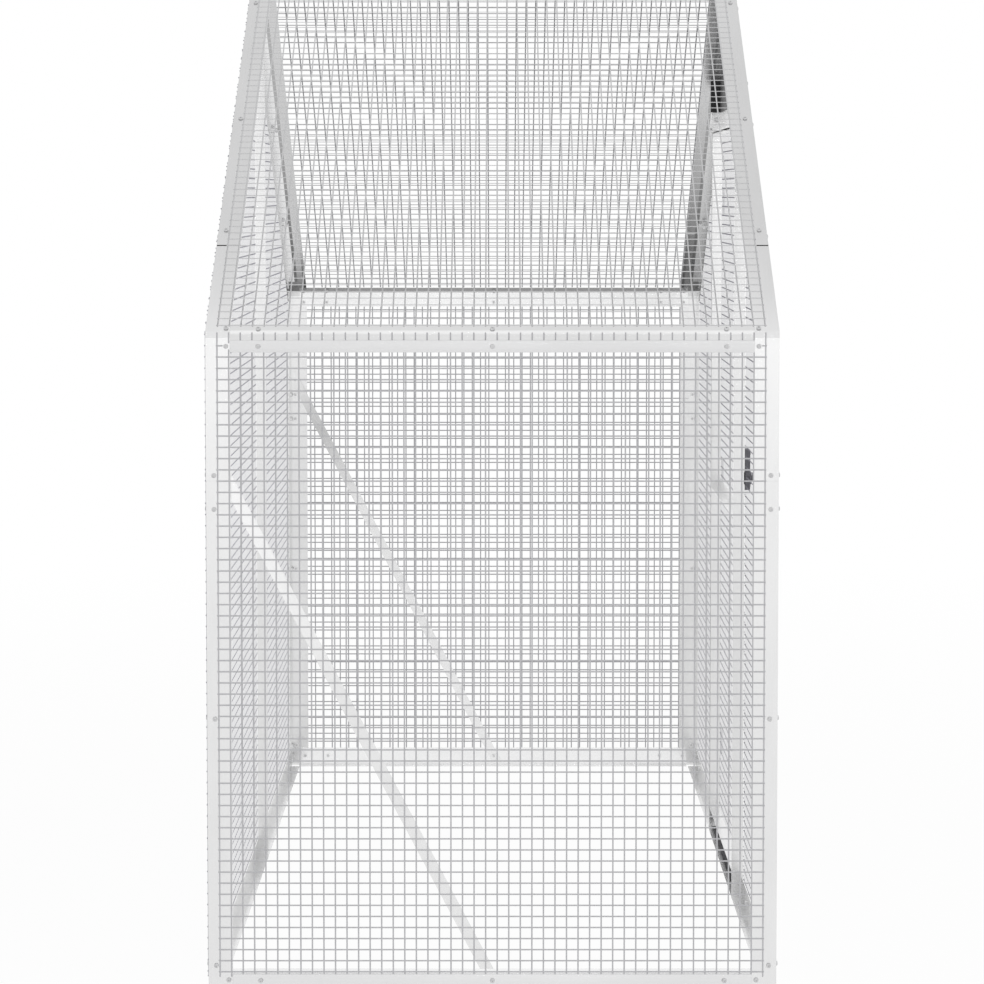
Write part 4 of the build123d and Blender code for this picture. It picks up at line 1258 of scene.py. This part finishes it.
@dataclass
class MeshPanel:
    """One panel of welded mesh: columns against the frame, rows welded on outside them."""

    SAME_WAY = 0.99
    IN_PLANE = 0.003

    name: str
    node: str
    body: str
    tone: WireTone
    plane: Plane
    outline: list[Flat]
    columns: list[float]
    rows: list[float]
    holes: list[Patch] = field(default_factory=list)
    covers: list[Patch] = field(default_factory=list)

    def inside(self, place: float, axis: int) -> Span | None:
        """Stretch of a straight line that lies in the outline.

        Args:
            place: where the line crosses the other axis.
            axis: 0 for a line across the panel, 1 for one up it.

        Returns:
            Its two ends, or nothing where it misses the panel.
        """
        hits = []
        for a, b in zip(self.outline, self.outline[1:] + self.outline[:1]):
            low, high = sorted((a[1 - axis], b[1 - axis]))
            if low <= place <= high and high - low > HAIR:
                share = (place - a[1 - axis]) / (b[1 - axis] - a[1 - axis])
                hits.append(a[axis] + share * (b[axis] - a[axis]))
        return (min(hits), max(hits)) if len(hits) > 1 else None

    def cut(self, place: float, axis: int, patches: list[Patch], weave: Weave) -> list[Span]:
        """Parts of a wire that are left in the outline, between the holes it would run through.

        Args:
            place: where the wire lies on the other axis.
            axis: 0 for a row, 1 for a column.
            patches: rectangles that wires keep out of.
            weave: sizes of the mesh.

        Returns:
            The stretches that are left.
        """
        span = self.inside(place, axis)
        parts = [span] if span else []
        for patch in patches:
            near, far = patch[1 - axis], patch[3 - axis]
            if not near - weave.radius < place < far + weave.radius:
                continue
            start, end = patch[axis], patch[axis + 2]
            left = []
            for low, high in parts:
                left.append((low, min(high, start)))
                left.append((max(low, end), high))
            parts = [(low, high) for low, high in left if high - low > weave.shortest]
        return parts

    def keep_off(self, bolts: list[BoltPlace], radius: float) -> None:
        """Leave room for the bolt heads that stand in the panel.

        Args:
            bolts: all the bolts.
            radius: radius of the room round a bolt.
        """
        plane = self.plane
        for bolt in bolts:
            offset = bolt.seat - plane.origin
            if bolt.out.dot(plane.out) > self.SAME_WAY and abs(offset.dot(plane.out)) < self.IN_PLANE:
                u, v = offset.dot(plane.across), offset.dot(plane.up)
                self.holes.append((u - radius, v - radius, u + radius, v + radius))

    def lines(self, weave: Weave) -> list[tuple[Vector, Vector]]:
        """Ends of all the wires, after trimming.

        Args:
            weave: sizes of the mesh.

        Returns:
            The two ends of each wire, the columns first.
        """
        found = []
        point = self.plane.point
        for u in self.columns:
            for low, high in self.cut(u, 1, self.holes, weave):
                found.append((point(u, low, weave.column_height), point(u, high, weave.column_height)))
        for v in self.rows:
            for low, high in self.cut(v, 0, self.holes + self.covers, weave):
                found.append((point(low, v, weave.row_height), point(high, v, weave.row_height)))
        return found

    def build(self, stock: WireStock, weave: Weave, finishes: Finishes) -> Piece:
        """Cut the wires and weld them into one piece.

        Args:
            stock: where the wire is cut from.
            weave: sizes of the mesh.
            finishes: where the galvanised coat is taken from.

        Returns:
            The panel.
        """
        out = self.plane.out
        wires = [stock.length(start, end, out) for start, end in self.lines(weave)]
        panel = gather(wires, self.name)
        smooth(panel, degrees=50.0)
        dress(panel, finishes.wire(self.name, self.tone, out))
        panel.visible_glossy = False
        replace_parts(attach(panel, self.body), self.node)
        LOG.info("mesh %s: %d wires", self.name, len(wires))
        return panel


class MeshWork:
    """The mesh panels of the walls, the roof, the gables and the door."""

    def __init__(self, weave: Weave, bolts: list[BoltPlace]) -> None:
        """Read the sizes of the frame.

        Args:
            weave: sizes of the mesh.
            bolts: places of the bolts, which the wires leave room for.
        """
        self.weave = weave
        self.bolts = bolts
        low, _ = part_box("post_front_left_lower")
        self.half_width, self.half_depth = -low.x, -low.y
        rafter = solids_of("rafter_front_left_upper")[0]
        top, foot = rafter[rafter[:, 2].argmax()], rafter[rafter[:, 1].argmin()]
        self.ridge = float(top[2])
        self.pitch = math.atan2(top[2] - foot[2], top[1] - foot[1])
        self.eave = self.ridge - self.half_depth * math.tan(self.pitch)

    def roof_height(self, y: float, inside: float) -> float:
        """Height of the roof over a place of the gable, at a depth inside it."""
        return self.ridge - abs(y) * math.tan(self.pitch) - inside / math.cos(self.pitch)

    def frame_columns(self) -> list[float]:
        """Places across the width of the upright wires of the walls and the roof."""
        weave = self.weave
        return [weave.first_column + weave.column_pitch * step for step in range(weave.columns)]

    def gable_columns(self, low: Vector, high: Vector, margin: float) -> list[float]:
        """Places along the depth of the upright wires of a gable's panel, a margin inside its box."""
        return self.weave.spread(low.y + margin, high.y - margin, self.weave.column_pitch)

    def frame_outline(self, low: float, high: float) -> list[Flat]:
        """Outline of a panel of the full width.

        Args:
            low: place of its foot.
            high: place of its top.

        Returns:
            Its four corners.
        """
        columns, stub = self.frame_columns(), self.weave.stub
        left, right = columns[0] - stub, columns[-1] + stub
        return [(left, low), (right, low), (right, high), (left, high)]

    def around(self, *nodes: str) -> list[Patch]:
        """Room round the solids of some nodes on the right gable.

        Args:
            nodes: names of the nodes.

        Returns:
            A rectangle for each solid.
        """
        room = self.weave.room
        patches = []
        for node in nodes:
            for points in solids_of(node):
                low, high = points.min(axis=0), points.max(axis=0)
                patches.append((low[1] - room, low[2] - room, high[1] + room, high[2] + room))
        return patches

    def wall(self, side: Wall) -> MeshPanel:
        """Panel of the front or rear wall, its level wires left out under the clamp strip.

        Args:
            side: the wall.

        Returns:
            The panel.
        """
        low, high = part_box(f"net_{side.label}")
        strip_low, strip_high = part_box("eave_strips")
        return MeshPanel(
            f"mesh_{side.label}", f"net_{side.label}", "frame", WireTone.WALL,
            Plane(side.out * self.half_depth, X, Z, side.out),
            self.frame_outline(low.z, high.z), self.frame_columns(), self.weave.rows(low.z, strip_high.z),
            covers=[(strip_low.x, strip_low.z, strip_high.x, strip_high.z)],
        )

    def roof(self, side: Wall) -> MeshPanel:
        """Panel of the front or rear slope.

        Args:
            side: the wall that the slope comes down to.

        Returns:
            The panel.
        """
        low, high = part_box(f"net_roof_{side.label}")
        rise, run = math.sin(self.pitch), math.cos(self.pitch)
        start = (low.z - self.eave) / rise
        end = (high.z - self.eave - self.weave.radius * 2 * run) / rise
        stub = self.weave.stub
        origin = side.out * self.half_depth + Z * self.eave
        return MeshPanel(
            f"mesh_roof_{side.label}", f"net_roof_{side.label}", "frame", WireTone.ROOF,
            Plane(origin, X, Z * rise - side.out * run, Z * run + side.out * rise),
            self.frame_outline(start, end), self.frame_columns(),
            self.weave.spread(start + stub, end - stub, self.weave.row_pitch),
        )

    def left(self) -> MeshPanel:
        """Panel of the whole left gable, out to its edges.

        Returns:
            The panel.
        """
        low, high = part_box("net_left")
        inset = self.half_depth - high.y
        shoulder = self.roof_height(high.y, inset)
        peak = self.roof_height(0.0, inset)
        return MeshPanel(
            "mesh_left", "net_left", "frame", WireTone.LEFT_GABLE, Plane(-X * self.half_width, Y, Z, -X),
            [(low.y, low.z), (high.y, low.z), (high.y, shoulder), (0.0, peak), (low.y, shoulder)],
            self.gable_columns(low, high, self.weave.radius), self.weave.rows(low.z, peak),
        )

    def right(self, side: Wall) -> MeshPanel:
        """Panel of the right gable, from a corner post to the door jamb.

        Args:
            side: the wall that the post belongs to.

        Returns:
            The panel.
        """
        low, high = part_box(f"net_right_{side.label}")
        inset = self.half_depth - max(abs(low.y), abs(high.y))
        tops = [self.roof_height(y, inset) for y in (high.y, low.y)]
        return MeshPanel(
            f"mesh_right_{side.label}", f"net_right_{side.label}", "frame", WireTone.RIGHT_GABLE,
            Plane(X * self.half_width, Y, Z, X),
            [(low.y, low.z), (high.y, low.z), (high.y, tops[0]), (low.y, tops[1])],
            self.gable_columns(low, high, self.weave.stub), self.weave.rows(low.z, max(tops)),
            holes=self.around("hinge_jamb_leaves", "latch_keeper"),
        )

    def door(self) -> MeshPanel:
        """Panel of the door, cut out round the hinges and the latch.

        Returns:
            The panel.
        """
        low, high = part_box("net_door")
        return MeshPanel(
            "mesh_door", "net_door", "door", WireTone.RIGHT_GABLE, Plane(X * low.x, Y, Z, X),
            [(low.y, low.z), (high.y, low.z), (high.y, high.z), (low.y, high.z)],
            self.gable_columns(low, high, self.weave.stub), self.weave.rows(low.z, high.z),
            holes=self.around("hinge_door_leaves", "latch_case"),
        )

    def build(self, finishes: Finishes) -> list[Piece]:
        """Make all the panels.

        Args:
            finishes: where the galvanised coat is taken from.

        Returns:
            The panels.
        """
        panels = [self.left(), self.door()]
        for side in (Wall.FRONT, Wall.REAR):
            panels += [self.wall(side), self.roof(side), self.right(side)]
        stock = WireStock(self.weave)
        made = []
        for panel in panels:
            panel.keep_off(self.bolts, self.weave.bolt_room)
            made.append(panel.build(stock, self.weave, finishes))
        throw_away(stock.pattern)
        return made


# Studio

@dataclass(frozen=True)
class Lamp:
    """A soft lamp: where it hangs, what it faces, the width and height of its face, and its watts."""

    name: str
    place: Triple
    aim: Triple
    size: Flat
    power: float

    def hang(self) -> None:
        """Hang the lamp where neither the camera nor the metal shows it."""
        data = bpy.data.lights.new(self.name, "AREA")
        data.shape = "RECTANGLE"
        data.size, data.size_y = self.size
        data.energy = self.power
        lamp = bpy.data.objects.new(self.name, data)
        lamp.location = self.place
        beam = Vector(self.aim) - Vector(self.place)
        lamp.rotation_euler = beam.to_track_quat("-Z", "Y").to_euler()
        lamp.visible_glossy = False
        lamp.visible_camera = False
        bpy.context.scene.collection.objects.link(lamp)


@dataclass
class Studio:
    """Pale floor, soft light and a camera square to the front wall."""

    eye: Triple = (0.0099, -7.2312, 1.7311)
    tilt: float = 3.0
    lens: float = 102.86
    sensor: float = 36.0
    shift: Flat = (-0.0051, -0.1538)
    ambient: float = 0.42
    floor_size: float = 60.0
    floor_tone: float = 0.9
    floor_roughness: float = 0.9
    shadow_reach: Span = (1.5, 6.0)
    whiteness: Span = (0.965, 1.0)
    lamps: tuple[Lamp, ...] = (
        Lamp("front_lamp", place=(1.5, -12.0, 2.6), aim=(0.0, 0.0, 1.0), size=(6.0, 3.0), power=600.0),
        Lamp("eave_lamp", place=(0.0, -3.6, 2.0), aim=(0.0, -1.2, 1.5), size=(4.0, 0.4), power=10.0),
        Lamp("side_lamp", place=(5.0, 1.0, 2.5), aim=(0.0, 0.0, 1.0), size=(3.0, 2.0), power=40.0),
    )

    def camera(self) -> None:
        """Set up the camera."""
        data = bpy.data.cameras.new("camera")
        data.lens = self.lens
        data.sensor_width = self.sensor
        data.shift_x, data.shift_y = self.shift
        camera = bpy.data.objects.new("camera", data)
        camera.location = self.eye
        camera.rotation_euler = (math.radians(90.0 - self.tilt), 0.0, 0.0)
        bpy.context.scene.collection.objects.link(camera)
        bpy.context.scene.camera = camera

    def world(self) -> None:
        """White surroundings that light the aviary at a plain level."""
        world = bpy.data.worlds.new("studio")
        bpy.context.scene.world = world
        world.use_nodes = True
        board = Board(world.node_tree)
        plain = board.tree.nodes["Background"]
        white = board.add("ShaderNodeBackground")
        for light, strength in ((plain, self.ambient), (white, 1.0)):
            light.inputs["Color"].default_value = (1, 1, 1, 1)
            light.inputs["Strength"].default_value = strength
        board.show(board.seen(), plain.outputs[0], white.outputs[0], "World Output")

    def floor(self) -> None:
        """Lay the floor, white with a faint shadow under the aviary."""
        let_go()
        bpy.ops.mesh.primitive_plane_add(size=self.floor_size)
        floor = bpy.context.object
        floor.name = "floor"
        sheet = Sheet("floor")
        sheet.shader.inputs["Base Color"].default_value = (*(self.floor_tone,) * 3, 1.0)
        sheet.shader.inputs["Roughness"].default_value = self.floor_roughness
        place = sheet.add("ShaderNodeTexCoord")
        reach = sheet.add("ShaderNodeVectorMath", operation="LENGTH")
        sheet.join(place.outputs["Object"], reach.inputs[0])
        fade = sheet.ranged(reach.outputs["Value"], self.shadow_reach, self.whiteness)
        glow = sheet.add("ShaderNodeEmission", Strength=1.0)
        share = sheet.product(fade, sheet.seen())
        sheet.show(share, sheet.shader.outputs[0], glow.outputs[0], "Material Output")
        dress(floor, sheet.material)

    def build(self) -> None:
        """Set up the whole studio."""
        bpy.context.scene.view_settings.view_transform = "Standard"
        self.camera()
        self.world()
        self.floor()
        for lamp in self.lamps:
            lamp.hang()


def main() -> None:
    """Build the aviary's looks in order and report each piece."""
    logging.basicConfig(level=logging.INFO, format="%(name)s %(message)s")
    Studio().build()
    finishes = Finishes()
    FrameBars().dress(finishes)
    for strips in ClampStrips().build(finishes):
        LOG.info("piece %s", strips.name)
    bolts = Bolts()
    bolts.find()
    LOG.info("piece %s: %d bolts", bolts.build(finishes).name, len(bolts.places))
    for panel in MeshWork(Weave(), bolts.places).build(finishes):
        LOG.info("piece %s", panel.name)


if __name__ == "__main__":
    main()
